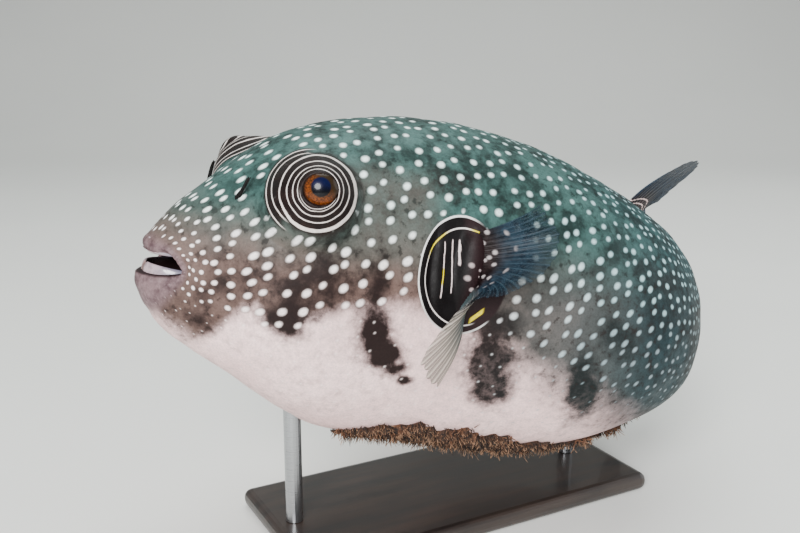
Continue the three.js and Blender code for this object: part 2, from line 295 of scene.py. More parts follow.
def noise(tree, vector, scale, detail=3.0, roughness=0.55):
    inputs = {"Vector": vector, "Scale": scale, "Detail": detail, "Roughness": roughness}
    return add(tree, "ShaderNodeTexNoise", inputs).outputs["Fac"]


def blend(tree, factor, first, second):
    """Mixes two colours."""
    inputs = {0: factor, 6: first, 7: second}  # the mix node's factor and its two colours
    return add(tree, "ShaderNodeMix", inputs, data_type="RGBA").outputs[2]


reading = (attribute, object_place, squeezed, noise)
print("ways to read a place or a number:", ", ".join(way.__name__ for way in reading))

# %% Sums
def maths(tree, operation, *values):
    node = add(tree, "ShaderNodeMath", dict(enumerate(values)), operation=operation)
    return node.outputs[0]


def scaled(tree, value, times, plus):
    return maths(tree, "MULTIPLY_ADD", value, times, plus)


def swing(tree, cloud, width):
    """A noise of 0 to 1, made to swing this wide about nothing."""
    return scaled(tree, cloud, width, -width / 2)


def chain(tree, operation, *values):
    """The same operation over all the values, one after another."""
    found = values[0]
    for value in values[1:]:
        found = maths(tree, operation, found, value)
    return found


print("sums:", ", ".join(way.__name__ for way in (maths, scaled, swing, chain)))

# %% Masks and ramps
def both(tree, *masks):
    """A mask that is open only where all of them are."""
    return chain(tree, "MULTIPLY", *masks)


def ramp(tree, value, low, high, start=0.0, end=1.0):
    """A smooth step from `start` to `end` as the value goes from `low` to `high`."""
    inputs = {"Value": value, "From Min": low, "From Max": high, "To Min": start, "To Max": end}
    node = add(tree, "ShaderNodeMapRange", inputs, interpolation_type="SMOOTHSTEP")
    return node.outputs["Result"]


def fade(tree, value, low, high, start=1.0):
    """A ramp that goes down to nothing."""
    return ramp(tree, value, low, high, start, 0)


def band(tree, value, middle, half, soft):
    """1 within `half` of the middle value, fading over `soft`."""
    off = maths(tree, "ABSOLUTE", maths(tree, "SUBTRACT", value, middle))
    return fade(tree, off, half, half + soft)


print("masks:", ", ".join(way.__name__ for way in (both, ramp, fade, band)))

# %% The start and the end of a material
def new_material(name):
    material = bpy.data.materials.new(name)
    material.use_nodes = True
    return material.node_tree


def finish_material(name, base, roughness, height=None, bump=0.0, distance=0.001, **settings):
    """Wires the shader: colour and roughness from nodes, and a bump from `height`."""
    tree = base.id_data
    shader = tree.nodes["Principled BSDF"]
    wired = {"base_color": base, "roughness": roughness, **settings}
    if height is not None:
        inputs = {"Height": height, "Strength": bump, "Distance": distance}
        wired["normal"] = add(tree, "ShaderNodeBump", inputs).outputs["Normal"]
    for key, value in wired.items():
        socket = key.replace("_", " ").title().replace("Ior", "IOR")
        plug(tree, value, shader.inputs[socket])
    print(name, "has", len(tree.nodes), "nodes")
    return bpy.data.materials[name]


# %% [markdown]
# ## A tone that drifts
# Enamel, fins, crusted weed and stained wood have one thing in common: their tone is never
# even, it drifts between a darker and a paler one. Each material could repeat the same noise,
# range and mix. Here they are one node group instead, with the size, the softness and the two
# tones as its inputs, so that a change to the effect reaches every finish at once.

# %% Mottled tone, a node group that several finishes share
def mottle_group():
    """Cloudy noise, and two tones mixed by it."""
    group = bpy.data.node_groups.new("mottled_tone", "ShaderNodeTree")
    inputs = ("Vector", "Scale", "Detail", "Roughness", "Low", "High", "Dark", "Pale")
    kinds = {"Vector": "NodeSocketVector", "Dark": "NodeSocketColor", "Pale": "NodeSocketColor"}
    for name in inputs:
        kind = kinds.get(name, "NodeSocketFloat")
        group.interface.new_socket(name=name, in_out="INPUT", socket_type=kind)
    group.interface.new_socket(name="Tone", in_out="OUTPUT", socket_type="NodeSocketColor")
    group.interface.new_socket(name="Amount", in_out="OUTPUT", socket_type="NodeSocketFloat")
    given = group.nodes.new("NodeGroupInput").outputs
    amount = noise(group, *(given[name] for name in inputs[:4]))
    share = ramp(group, amount, given["Low"], given["High"])
    result = group.nodes.new("NodeGroupOutput")
    group.links.new(blend(group, share, given["Dark"], given["Pale"]), result.inputs["Tone"])
    group.links.new(amount, result.inputs["Amount"])
    return group


MOTTLE = mottle_group()


def mottled(tree, vector, scale, detail, span, dark, pale, roughness=0.55):
    """Places the group in a material; gives its tone and how strong the noise is."""
    values = {"Vector": vector, "Scale": scale, "Detail": detail, "Roughness": roughness}
    values.update({"Low": span[0], "High": span[1], "Dark": dark, "Pale": pale})
    node = add(tree, "ShaderNodeGroup", values, node_tree=MOTTLE)
    return node.outputs["Tone"], node.outputs["Amount"]


print("mottled_tone has", len(MOTTLE.nodes), "nodes")

# %% [markdown]
# ## Floor and light
# A display model is looked at on a pale ground in even light. A flat floor would end in a hard
# line, so this one is a grid whose far rows curve up. Three large soft lamps do what a studio
# would: one near the camera, one above, and one that fills the far side.

# %% Studio floor
FLOOR_HALF = 3.0
SWEEP_START = 1.2  # the floor is level up to here and then curves up
SWEEP_RISE = 0.6
FLOOR_TONES = tones(shade=(214, 214, 210), light=(224, 223, 219))

floor_mesh = bpy.data.meshes.new("floor")
form = bmesh.new()
bmesh.ops.create_grid(form, x_segments=24, y_segments=48, size=FLOOR_HALF)
to_camera = Matrix.Rotation(-LOOK_TURN, 3, "Z")
for vert in form.verts:
    vert.co.z = max(vert.co.y - SWEEP_START, 0) ** 2 * SWEEP_RISE
    vert.co = to_camera @ vert.co
form.to_mesh(floor_mesh)
form.free()
floor_mesh.shade_smooth()
floor = placed("floor", floor_mesh)
floor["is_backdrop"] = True

tree = new_material("studio_floor")
cloud = noise(tree, object_place(tree), 2.5, 5)
tone = blend(tree, cloud, FLOOR_TONES["shade"], FLOOR_TONES["light"])
floor_mesh.materials.append(finish_material("studio_floor", tone, ramp(tree, cloud, 0, 1, 0.7, 0.85)))

# %% Lamps and the light of the room
LIT_PLACE = Vector((0, 0, 0.1))
LAMPS = (  # name, place, width, watts, tint
    ("key", (-0.9, -1.0, 0.75), 0.7, 44, (1, 1, 1)),
    ("above", (0.2, 0.3, 1.5), 1.4, 25, (0.93, 1.0, 0.98)),
    ("fill", (1.3, -0.5, 0.6), 1.2, 8, (0.95, 0.98, 1.0)),
)
ROOM_TINT = (0.8, 0.84, 0.85, 1)
ROOM_STRENGTH = 0.45

for name, place, width, watts, tint in LAMPS:
    lamp_data = bpy.data.lights.new(name, "AREA")
    lamp_data.shape = "DISK"
    lamp_data.size = width
    lamp_data.energy = watts
    lamp_data.color = tint
    look = (LIT_PLACE - Vector(place)).to_track_quat("-Z", "Y")
    placed(name, lamp_data).matrix_world = Matrix.Translation(place) @ look.to_matrix().to_4x4()
room = bpy.data.worlds.new("studio")
room.use_nodes = True
background = room.node_tree.nodes["Background"]
background.inputs["Color"].default_value = ROOM_TINT
background.inputs["Strength"].default_value = ROOM_STRENGTH
bpy.context.scene.world = room
print("lamps:", len(LAMPS))

# %% [markdown]
# ## Making a closed form from a grid
# Skin and fins are both a sheet that wraps round. A flat grid made by Blender already has its
# faces and an even UV map, so each of its points only has to be moved to its place, and the
# edges that meet are merged. That keeps the map as an unwrap of the piece's own shape.

# %% Numbers kept on points
NEAR_END = 1e-6  # a fraction this near to 0 or 1 lies on the grid's border


def at_end(share):
    """Whether a fraction, 0 to 1, lies on the grid's border."""
    return (share < NEAR_END) | (share > 1 - NEAR_END)


def keep_on_points(mesh, name, values):
    """Stores a number or a vector for each of a mesh's points, for a material to read."""
    wide = values.ndim == 2
    layer = mesh.attributes.new(name, "FLOAT_VECTOR" if wide else "FLOAT", "POINT")
    layer.data.foreach_set("vector" if wide else "value", values.astype(np.float32).ravel())


print("at the border, a grid's middle and its end:", at_end(np.array([0.5, 1.0])))

# %% Merging the edges that meet
WELD = 1e-6  # points nearer than this, in metres, are one


def close_up(mesh):
    """Merges the edges that meet and turns all faces outwards. Returns how many stay open."""
    form = bmesh.new()
    form.from_mesh(mesh)
    bmesh.ops.remove_doubles(form, verts=form.verts, dist=WELD)
    bmesh.ops.dissolve_degenerate(form, edges=form.edges, dist=WELD)
    bmesh.ops.recalc_face_normals(form, faces=form.faces)
    if form.calc_volume(signed=True) < 0:
        bmesh.ops.reverse_faces(form, faces=form.faces)
    open_edges = sum(edge.is_boundary for edge in form.edges)
    form.to_mesh(mesh)
    form.free()
    return open_edges


print("points merge within", WELD * 1000, "mm")

# %% A grid moved into shape
def wrapped_grid(name, columns, rows, place_points):
    """Makes a piece from a grid. `place_points` takes the grid's two fractions, each 0 to 1,
    and gives a place in metres for each, with any attributes to keep on the points."""
    form = bmesh.new()
    form.loops.layers.uv.new("OFBake")
    bmesh.ops.create_grid(form, x_segments=columns, y_segments=rows, size=1, calc_uvs=True)
    mesh = bpy.data.meshes.new(name)
    form.to_mesh(mesh)
    form.free()
    flat = np.zeros(len(mesh.vertices) * 3, np.float32)
    mesh.vertices.foreach_get("co", flat)
    u, v = (flat[0::3] + 1) / 2, (flat[1::3] + 1) / 2
    order = np.lexsort((u, v))
    size = (rows + 1, columns + 1)
    places, kept = place_points(*(share[order].reshape(size).astype(float) for share in (u, v)))
    moved = np.zeros((len(order), 3), np.float32)
    moved[order] = places.reshape(-1, 3)
    mesh.vertices.foreach_set("co", moved.ravel())
    for key, values in kept.items():
        by_point = np.zeros((len(order), *values.shape[2:]))
        by_point[order] = values.reshape(by_point.shape)
        keep_on_points(mesh, key, by_point)
    open_edges = close_up(mesh)
    mesh.shade_smooth()
    print(name, "faces", len(mesh.polygons), "open edges", open_edges)
    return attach(placed(name, mesh), "root")


# %% [markdown]
# ## The skin
# On the real fish the skin is one tough, loose coat with no seam from the lips to the tail. It
# could be sculpted by hand, but its folds are few and each follows a rule: lids close on the
# eyes, a lobe carries each side fin behind its gill slit, the lips wrinkle. So each is a small
# push along the skin's own direction, where the distance to the feature says how far.

# %% Rows and columns of the skin
SKIN_COLUMNS = 312
SKIN_ROWS = 316
ROW_SHARES = (0, 0.04, 0.15, 0.30, 0.55, 0.78, 1)
ROW_PLACES = (-30, -3, 10, 35, 82, 140, 340)
BUSY_TURN = math.radians(118)  # the eyes and side fins are here, so columns crowd there
BUSY_WIDTH = math.radians(28)
BUSY_CROWD = 1.4
TURN_SAMPLES = 2001


def step(value, low, high):
    """0 at `low`, 1 at `high`, with soft ends."""
    t = np.clip((value - low) / (high - low), 0, 1)
    return t * t * (3 - 2 * t)


def hump(distance, width):
    """1 where the distance is nothing, and soon 0 past the width."""
    return np.exp(-((distance / width) ** 2))


def row_along(share):
    return np.interp(share, ROW_SHARES, ROW_PLACES)


def column_turn(share):
    turns = np.linspace(0, 2 * math.pi, TURN_SAMPLES)
    crowd = sum(hump(turns - at, BUSY_WIDTH) for at in (BUSY_TURN, 2 * math.pi - BUSY_TURN))
    reached = np.concatenate([[0], np.cumsum(1 + BUSY_CROWD * crowd[1:])])
    return np.interp(share, reached / reached[-1], turns)


print("skin grid:", SKIN_COLUMNS, "x", SKIN_ROWS)

# %% Lips
LIP_REACH = 6.2  # how far the plain lip goes over the skin at the corners of the mouth
LIP_MOVES = (  # part of the mouth, axis, millimetres, middle and width of the move along the skin
    ("fold", 2, -1.0, 0.5, 4.5),
    ("upper", 0, 1.5, 0.5, 2.5),
    ("upper", 0, -0.7, 4.5, 3),
    ("lower", 0, 1.3, 0.5, 3.5),
    ("lower", 0, -1.4, 9.5, 5),
    ("lower", 2, -0.7, 9.5, 5),
    ("side", 2, -1.1, -0.5, 3.5),
    ("front", 2, 0.9, 0.5, 3),
)


def lip_width(turn):
    """How far the plain lip reaches over the skin: further below the mouth than above it."""
    return LIP_REACH + 0.7 * np.cos(turn) + 5.0 * np.maximum(np.cos(turn), 0) ** 2


def lip_set(place, along, turn):
    """Rolls the upper lip down over the beak and rounds the chin below the lower one."""
    down = np.cos(turn)  # 1 in the middle of the lower lip, -1 in the middle of the upper one
    shares = {
        "upper": step(-down, 0.05, 0.8),
        "lower": step(down, 0.05, 0.8),
        "fold": 3.5 * step(-down, 0.72, 1) + 2.2 * hump(down + 0.36, 0.3),
        "side": hump(down - 0.5, 0.3),
        "front": hump(down - 1, 0.12),
    }
    moved = place.copy()
    for part, axis, push, middle, width in LIP_MOVES:
        moved[..., axis] += push * shares[part] * hump(along - middle, width)
    return moved


print("moves that set the lips:", len(LIP_MOVES))

# %% Folds of the skin
WRINKLE_HEIGHT = 0.13
LIP_GROOVE = 0.45
SLIT_X = 103.5
SLIT_Z = 13
SLIT_DEPTH = 1.3


def folds(place, along, turn):
    """How far each point of the smooth skin is pushed out, in millimetres."""
    x, y, z = place[..., 0], place[..., 1], place[..., 2]
    lips = step(along, -6, -2) * step(along, 9, 4)
    wrinkle = np.sin(turn * 46 + np.sin(turn * 5) * 2) * (0.6 + 0.4 * np.sin(turn * 11))
    push = WRINKLE_HEIGHT * wrinkle * lips
    push -= LIP_GROOVE * hump(along - lip_width(turn) - 0.6 * np.sin(turn * 3), 1.5)
    push += 0.35 * np.sin(x / 9 + y / 13) * np.sin(z / 11 - y / 17) * step(x, 15, 60)
    push += 0.25 * np.sin(x / 4.3 - z / 6.1) * np.sin(z / 5.2 + y / 7) * step(x, 20, 80)
    slit = hump(x - SLIT_X - ((z - SLIT_Z) / 14) ** 2 * 1.5, 1.6) * hump(z - SLIT_Z, 15)
    push -= SLIT_DEPTH * slit * step(np.abs(y), 40, 46)
    return push


def soft_max(first, second, soft):
    """The higher of two heights, with the corner between them rounded."""
    return np.logaddexp(first / soft, second / soft) * soft


print("gill slits at x", SLIT_X, "and", SLIT_DEPTH, "mm deep")

# %% Lids
LID_OPENING = 6.7
LID_SQUEEZE = 1.14  # the opening is wider than it is high
LID_WIDTH = 1.3
LID_HEIGHT = 0.8
LID_ROUNDING = 0.6
CREASE_AT = 3.6  # from the opening out to the crease round the lid
CREASE_DEPTH = 0.4
COVER = 0.5  # thickness of the skin over the ball
DIP = 1.6  # how far the skin lies below the ball inside the opening


def eye_axes(side):
    """Middle of the eyeball, and its outward, forward and upward directions."""
    out = unit(sided(EYE_LOOK, side))
    middle = sided(EYEBALL, side)
    forward = unit(np.array([-1.0, 0, 0]) + out * out[0])
    upward = np.cross(forward, out) * -side
    return middle, out, forward, upward


def lids(place, side):
    """Closes the skin on the eyeball: a raised lid, and inside it the skin dips below."""
    middle, out, forward, upward = eye_axes(side)
    away = place - middle
    height = away @ out
    flat = np.hypot(away @ forward, away @ upward)
    reach = np.hypot(away @ forward, away @ upward * LID_SQUEEZE) - LID_OPENING
    near = (height > -4) & (flat < 16)
    lid = LID_HEIGHT * hump(reach - 0.8, LID_WIDTH) - CREASE_DEPTH * hump(reach - CREASE_AT, 1.1)
    ball = np.sqrt(np.maximum(EYE_RADIUS**2 - flat**2, 0))
    cover = ball + COVER - 3 * np.maximum(flat - EYE_RADIUS, 0)
    lifted = soft_max(height + lid, cover, LID_ROUNDING)
    inside = step(reach, 0.25, -0.5)
    wanted = lifted * (1 - inside) + np.minimum(ball - DIP, lifted) * inside
    return place + np.where(near, wanted - height, 0)[..., None] * out


print("lid opening", LID_OPENING, "mm, eyeball", EYE_RADIUS, "mm in radius")

# %% Lobe of a side fin, and the finished skin
LOBE = np.array([121, 53.5, 13])
LOBE_SIZE = np.array([7.5, 8, 18.5])
LOBE_ROUNDING = 1.2
SMALL_STEP = 0.02


def fin_lobe(place, side):
    """Swells the skin over the fleshy root of a side fin."""
    flat = (place - sided(LOBE, side))[..., [0, 2]] / LOBE_SIZE[[0, 2]]
    reach = (flat**2).sum(-1)
    dome = LOBE_SIZE[1] * np.sqrt(np.maximum(1 - reach, 0)) + LOBE[1]
    out = np.abs(place[..., 1])
    swollen = soft_max(out, dome, LOBE_ROUNDING)
    inside = step(reach, 1.25, 0.85) * (place[..., 1] * side > 0)
    moved = place.copy()
    moved[..., 1] += side * np.maximum(swollen - out, 0) * inside
    return moved


def skin_place(along, turn):
    """The finished skin of the straight fish."""
    place = smooth_skin(along, turn)
    down_body = smooth_skin(along + SMALL_STEP, turn) - smooth_skin(along - SMALL_STEP, turn)
    round_body = smooth_skin(along, turn + SMALL_STEP) - smooth_skin(along, turn - SMALL_STEP)
    out = unit(np.cross(round_body, down_body))
    place = lip_set(place + out * folds(place, along, turn)[..., None], along, turn)
    for side in (-1, 1):
        place = lids(fin_lobe(place, side), side)
    return place


print("lobe of a side fin, half its size:", LOBE_SIZE, "mm")

# %% [markdown]
# ## Places of the markings
# A pattern can be painted by hand, projected, or grown by rule. Here it is grown: each point of
# the skin keeps a few numbers, such as how far it is from an eye or how low on the flank it
# lies, and the material turns those numbers into rings, spots and shading at any sharpness.
# The spots need a sheet without stretching, so the skin is unrolled as a map keeps its angles.

# %% Unrolled coordinates for the spots
SPOT_X = (-10, 10, 30, 60, 100, 150, 200, 262, 310, 345)
SPOTS_ROUND = (6.6, 6.6, 6.6, 7.4, 8.4, 9.6, 12.8, 13.4, 8.8, 6.2)  # cells in a radian
DASH_X = (0, 35, 62, 140, 200)
DASH_SHAPE = (0.62, 0.68, 0.95, 0.95, 1.2)  # below 1 the spots are drawn out along the body
LEAST_GIRTH = 4.0


def unrolled(place, x_line):
    """Two coordinates a cell apart for neighbouring spots, round the body and along it."""
    gaps = np.linalg.norm(np.diff(place, axis=1), axis=-1)
    arc = np.concatenate([np.zeros((len(place), 1)), np.cumsum(gaps, 1)], 1)
    girth = np.maximum(arc[:, -1:], LEAST_GIRTH)
    round_body = 2 * math.pi * (arc / girth - 0.5)
    rows_apart = np.linalg.norm(np.diff(place, axis=0), axis=-1).mean(1)
    middle_girth = (girth[1:, 0] + girth[:-1, 0]) / 2
    spots = np.interp(x_line, SPOT_X, SPOTS_ROUND)
    stretch = np.interp(x_line, DASH_X, DASH_SHAPE)
    cells = rows_apart / (middle_girth / 2 / math.pi) * (spots * stretch)[1:]
    flow = np.zeros(place.shape)
    flow[..., 0] = round_body * spots[:, None]
    flow[..., 1] = np.concatenate([[0], np.cumsum(cells)])[:, None]
    return flow


print("spots round the body at its middle:", round(2 * math.pi * np.interp(170, SPOT_X, SPOTS_ROUND)))

# %% Rings round the eyes
RINGS = dict(  # middle of the first ring, how each wider ring slips, reach of the first
    middle=np.array([0.95, -0.4]), drift=np.array([0.0, -0.11]), start=7.8,
)
ARCS = dict(middle=np.array([4.36, -0.53]), drift=np.array([-0.27, -0.33]), start=14.35)


def ring_reach(place, side, middle, drift, start):
    """Radius of the eye ring that passes through each point, and the direction to it."""
    ball, _, forward, upward = eye_axes(side)
    away = place - ball
    flat = np.stack([away @ forward, away @ upward], -1) - middle + drift * start
    lean = flat @ drift
    spare = 1 - (drift**2).sum()
    reach = (-lean + np.sqrt(lean**2 + spare * (flat**2).sum(-1))) / spare
    from_middle = flat - drift * reach[..., None]
    return reach, np.arctan2(from_middle[..., 1], from_middle[..., 0])


def nearer_rings(place, rings):
    """Reach and direction in the rings of the eye on each point's own side."""
    left, right = (ring_reach(place, side, **rings) for side in (-1, 1))
    return [np.where(place[..., 1] < 0, near, far) for near, far in zip(left, right)]


print("first ring and first arc at", RINGS["start"], "and", ARCS["start"], "mm from their middles")

# %% Where the flanks turn pale
BELLY_LINE = (  # x, height where the flank turns pale, width of the change
    (-10, -9, 5), (12, -24, 5), (22, -31, 6), (29, -23, 6), (34, -13, 5), (39, -10, 4),
    (44, -16, 4), (50, -18, 4), (58, -11, 4), (70, -7, 5), (90, -4, 5), (107, -4, 5), (120, -8, 6),
    (135, -18, 11), (155, -28, 15), (180, -41, 18), (205, -55, 17), (235, -64, 15),
    (262, -58, 12), (300, -32, 7), (345, -18, 5),
)
SPOT_FLOOR = (  # x, height below which there are no spots
    (-10, -9), (20, -13), (40, -18), (52, -20), (60, -10), (75, -7), (107, 0), (125, 0),
    (150, -14), (175, -26), (200, -34), (230, -44), (262, -40), (300, -16), (345, -10),
)


def line_at(table, x, column=1):
    table = np.array(table)
    return np.interp(x, table[:, 0], table[:, column])


print("height where the flank turns pale, at x 200:", round(line_at(BELLY_LINE, 200), 1))

# %% Dark blotches
BLOTCHES = (  # x, z, half length, half height, lean, depth of tone
    (22, -10, 5, 5, 0.0, 0.6),
    (21, -20, 8, 5.5, 0.4, 0.68),
    (27, 6, 7, 8, 0.0, 0.45),
    (28, -5, 6, 5, 0.0, 0.6),
    (34, 0, 6, 7, 0.0, 0.6),
    (50, -2, 14, 8, 0.0, 0.75),
    (50, -9, 9, 7, 0.0, 0.95),
    (48.5, -14, 8, 8.5, 0.35, 1.15),
    (62, 5, 15, 11, 0.0, 0.62),
    (62, 12, 8, 7, 0.0, 0.5),
    (84.5, -15, 8.5, 13, 0.1, 1.35),
    (83, 4, 6, 13, 0.0, 1.0),
    (90, -24, 7.5, 7, 0.0, 1.3),
    (96, -30, 5.5, 4, -0.3, 1.1),
    (101, -34.5, 3.8, 2.6, 0.0, 1.3),
    (86, 34, 6, 6, 0.0, 0.45),
    (112, 46, 11, 8, 0.0, 0.6),
    (131, -9, 10, 9, 0.0, 1.15),
    (133, -21, 10, 11, 0.0, 1.35),
    (138, -35, 8, 9, 0.2, 1.25),
    (146, 38, 12, 9, 0.0, 0.3),
    (174, -31, 6, 16, 0.25, 1.3),
    (182, -8, 7, 10, 0.3, 0.65),
    (204, 8, 14, 20, 0.3, 0.5),
    (228, -14, 12, 18, 0.3, 0.5),
)


def dark_blotches(place):
    """The depth of the deepest blotch at each point."""
    tone = np.zeros(place.shape[:-1])
    for x, z, half_x, half_z, lean, depth in BLOTCHES:
        up = place[..., 2] - z
        forth = place[..., 0] - x + lean * up
        tone = np.maximum(tone, depth * hump(forth, half_x) * hump(up, half_z))
    return tone


print("blotches on each flank:", len(BLOTCHES))

# %% How large a spot may be
SIZE_X = (0, 12, 30, 60, 120, 200, 250, 340)
SPOT_SIZES = (0.155, 0.18, 0.195, 0.177, 0.183, 0.18, 0.155, 0.15)  # radius, as a share of a cell


def spot_room(place, along, turn, ring, arc, arc_open, field):
    """The usual radius of a spot at each point: nothing on belly, lips, rings and oval."""
    x, z = place[..., 0], place[..., 2]
    lip_edge = lip_width(turn)
    room = step(z - line_at(SPOT_FLOOR, x), -4, 5) * step(along, lip_edge, lip_edge + 3)
    room *= step(ring, 16.2, 17.4) * step(field, 1.04, 1.16)
    room *= 1 - arc_open * step(arc, 19.4, 18.4)
    room *= 1 - 0.16 * step(z, 20, 46)
    room *= 1 - 0.25 * step(x, 150, 200) * step(z, 4, -26)
    return room * np.interp(x, SIZE_X, SPOT_SIZES)


print("the usual spot reaches", max(SPOT_SIZES), "of a cell where it is largest")

# %% Numbers that the skin's points keep
FIELD = np.array([116.5, 11.5])  # the dark oval behind the gill slit
FIELD_HALF = np.array([18, 23.5])
INNER_FIELD = np.array([117.3, 11])
INNER_HALF = np.array([16, 19.5])
ARC_HEADING = 0.24  # the arcs before the eye open on both sides of this direction


def markings(place, along, turn):
    """All the numbers that the skin's material reads."""
    x, z = place[..., 0], place[..., 2]
    flat = place[..., [0, 2]]
    ring, _ = nearer_rings(place, RINGS)
    arc, heading = nearer_rings(place, ARCS)
    arc_open = step(np.cos(heading - ARC_HEADING), 0.18, 0.5)
    field = np.linalg.norm((flat - FIELD) / FIELD_HALF, axis=-1)
    lip_edge = lip_width(turn)
    return {
        "fish": place,
        "flow": unrolled(smooth_skin(along, turn, mounds=()), x.mean(1)),
        "low": (z - line_at(BELLY_LINE, x)) / line_at(BELLY_LINE, x, 2),
        "blotch": dark_blotches(place),
        "ring": ring,
        "arc": arc,
        "arc_open": arc_open,
        "field": np.stack([x - FIELD[0], z - FIELD[1], field], -1),
        "inner_field": np.linalg.norm((flat - INNER_FIELD) / INNER_HALF, axis=-1),
        "spotted": spot_room(place, along, turn, ring, arc, arc_open, field),
        "lips": step(along, lip_edge + 2.5, lip_edge - 2.5),
        # inside the mouth, where painted shade darkens the skin
        "mouth": step(along, -1.5, -5),
    }


print("dark oval:", 2 * FIELD_HALF, "mm")

# %% Skin mesh
def skin_points(share_round, share_along):
    along, turn = row_along(share_along), column_turn(share_round)
    place = skin_place(along, turn)
    kept = markings(place, along, turn)
    tip = place.mean(1, keepdims=True)
    return stand_frame(np.where(at_end(share_along)[..., None], tip, place)), kept


skin = wrapped_grid("skin", SKIN_COLUMNS, SKIN_ROWS, skin_points)
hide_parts("snout", "head", "trunk", "tail_stalk")

# %% [markdown]
# ## The skin's finish
# The real markings are pigment in the skin, so one material carries them all. They could be
# painted, but paint blurs close up. Here each marking is a mask made from the numbers on the
# points and roughened by noise, and the masks lay one tone over another: flanks and belly,
# blotches, spots, rings, the oval at the fin and the lips, each over those before it.
# Some tones are painted light: blue-green water light on the back, shade round the eyes and in the
# mouth.

# %% Skin finish: what the points and the noise give
SKIN_NOISES = (  # clouds to a metre, detail, roughness
    (1100, 4, 0.65),
    (260, 5, 0.65),
    (62, 5, 0.62),
    (20, 3, 0.5),
    (110, 2, 0.55),
)

tree = new_material("puffer_skin")
place = object_place(tree)
fish_x, _, fish_z = split(tree, attribute(tree, "fish", "Vector"))
fine, small, broad, huge, wobble = (noise(tree, place, *kind) for kind in SKIN_NOISES)
print("noises on the skin:", len(SKIN_NOISES))

# %% Skin finish: flank, back and belly
# Painted light: the back's tones are partly the skin's own greenish grey, partly the blue-green water
# light that falls on the back.
SKIN = tones(
    flank=(96, 77, 71), flank_rear=(28, 50, 55), flank_dark=(40, 27, 24), flank_dark_rear=(7, 18, 21),
    back=(60, 90, 86), back_rear=(34, 76, 80), back_dark=(16, 30, 28), back_dark_rear=(8, 22, 24),
    haze=(98, 98, 95), behind_eye=(92, 84, 79),
    belly=(246, 214, 211), belly_warm=(232, 197, 194), belly_grain=(212, 182, 180),
)
BACK_HEIGHTS = (9, 44)  # between these heights the flank's tone gives way to the back's
REAR_PLACES = (120, 215)  # and between these places the front's tones to the rear's
STERN_PLACES = (180, 260)

rough_edge = ramp(tree, fish_x, 110, 150, 1, 0.5)
ragged = scaled(tree, swing(tree, broad, 2.4), rough_edge, attribute(tree, "low"))
ragged = scaled(tree, swing(tree, small, 0.8), rough_edge, ragged)
above_belly = ramp(tree, ragged, -1.0, 1.0)
# Up the body the colour turns to the back's, which carries the painted blue-green water light.
upward = ramp(tree, scaled(tree, broad, 16, fish_z), *BACK_HEIGHTS)
uneven_x = scaled(tree, broad, 40, fish_x)
rearward = ramp(tree, uneven_x, *REAR_PLACES)
stern = ramp(tree, uneven_x, *STERN_PLACES)
patchy = ramp(tree, scaled(tree, small, 0.5, broad), 0.58, 0.92)
patchy = both(tree, patchy, ramp(tree, fish_x, 15, 50, 0.45, 0.9))
flank = blend(tree, rearward, SKIN["flank"], SKIN["flank_rear"])
flank = blend(tree, patchy, flank, blend(tree, rearward, SKIN["flank_dark"], SKIN["flank_dark_rear"]))
back = blend(tree, stern, SKIN["back"], SKIN["back_rear"])
back = blend(tree, patchy, back, blend(tree, stern, SKIN["back_dark"], SKIN["back_dark_rear"]))
coat = blend(tree, upward, flank, back)
hazy = both(tree, band(tree, fish_x, 156, 16, 34), fade(tree, fish_z, 4, 36, 0.32))
coat = blend(tree, hazy, coat, SKIN["haze"])
behind_eye = both(tree, band(tree, fish_x, 88, 10, 16), band(tree, fish_z, 33, 9, 13))
coat = blend(tree, maths(tree, "MULTIPLY", behind_eye, 0.5), coat, SKIN["behind_eye"])
belly = blend(tree, ramp(tree, huge, 0.35, 0.65), SKIN["belly"], SKIN["belly_warm"])
belly = blend(tree, ramp(tree, small, 0.3, 0.75), belly, SKIN["belly_grain"])
coat = blend(tree, above_belly, belly, coat)
print("tones of the ground:", len(SKIN))

# %% Skin finish: dark blotches and pepper
STAINS = tones(
    blotch=(28, 17, 16), blotch_rear=(18, 27, 28), pepper=(30, 21, 19), pepper_back=(12, 26, 24),
)
SMOKE_PLACES = (106, 122)  # behind the side fin the blotches are smoky, before it they are crisp

blotch = attribute(tree, "blotch")
depth = chain(tree, "ADD", blotch, swing(tree, broad, 1.3), swing(tree, small, 0.7))
smoky = both(tree, ramp(tree, depth, -0.1, 0.85), ramp(tree, small, 0.3, 0.6, 0.92, 1))
stained = blend(tree, ramp(tree, fish_x, *SMOKE_PLACES), ramp(tree, depth, 0.05, 0.95), smoky)
stained = both(tree, stained, ramp(tree, blotch, 0.02, 0.3))
coat = blend(tree, stained, coat, blend(tree, rearward, STAINS["blotch"], STAINS["blotch_rear"]))
pepper = ramp(tree, small, 0.56, 0.66, 0, 0.6)
pepper = both(tree, pepper, ramp(tree, above_belly, 0, 1, 0.12, 1.0))
# On the back the pepper turns blue-green too, with the painted water light.
coat = blend(tree, pepper, coat, blend(tree, upward, STAINS["pepper"], STAINS["pepper_back"]))
print("nodes after the blotches:", len(tree.nodes))

# %% Skin finish: white spots
SPOT = tones(
    flank=(246, 232, 229), back=(232, 246, 243), rear=(158, 192, 196), dim=(126, 142, 148),
    shade=(40, 30, 27), shade_back=(18, 38, 35),
)
SPOT_SCATTER = 0.5  # 0 would set the spots in straight rows

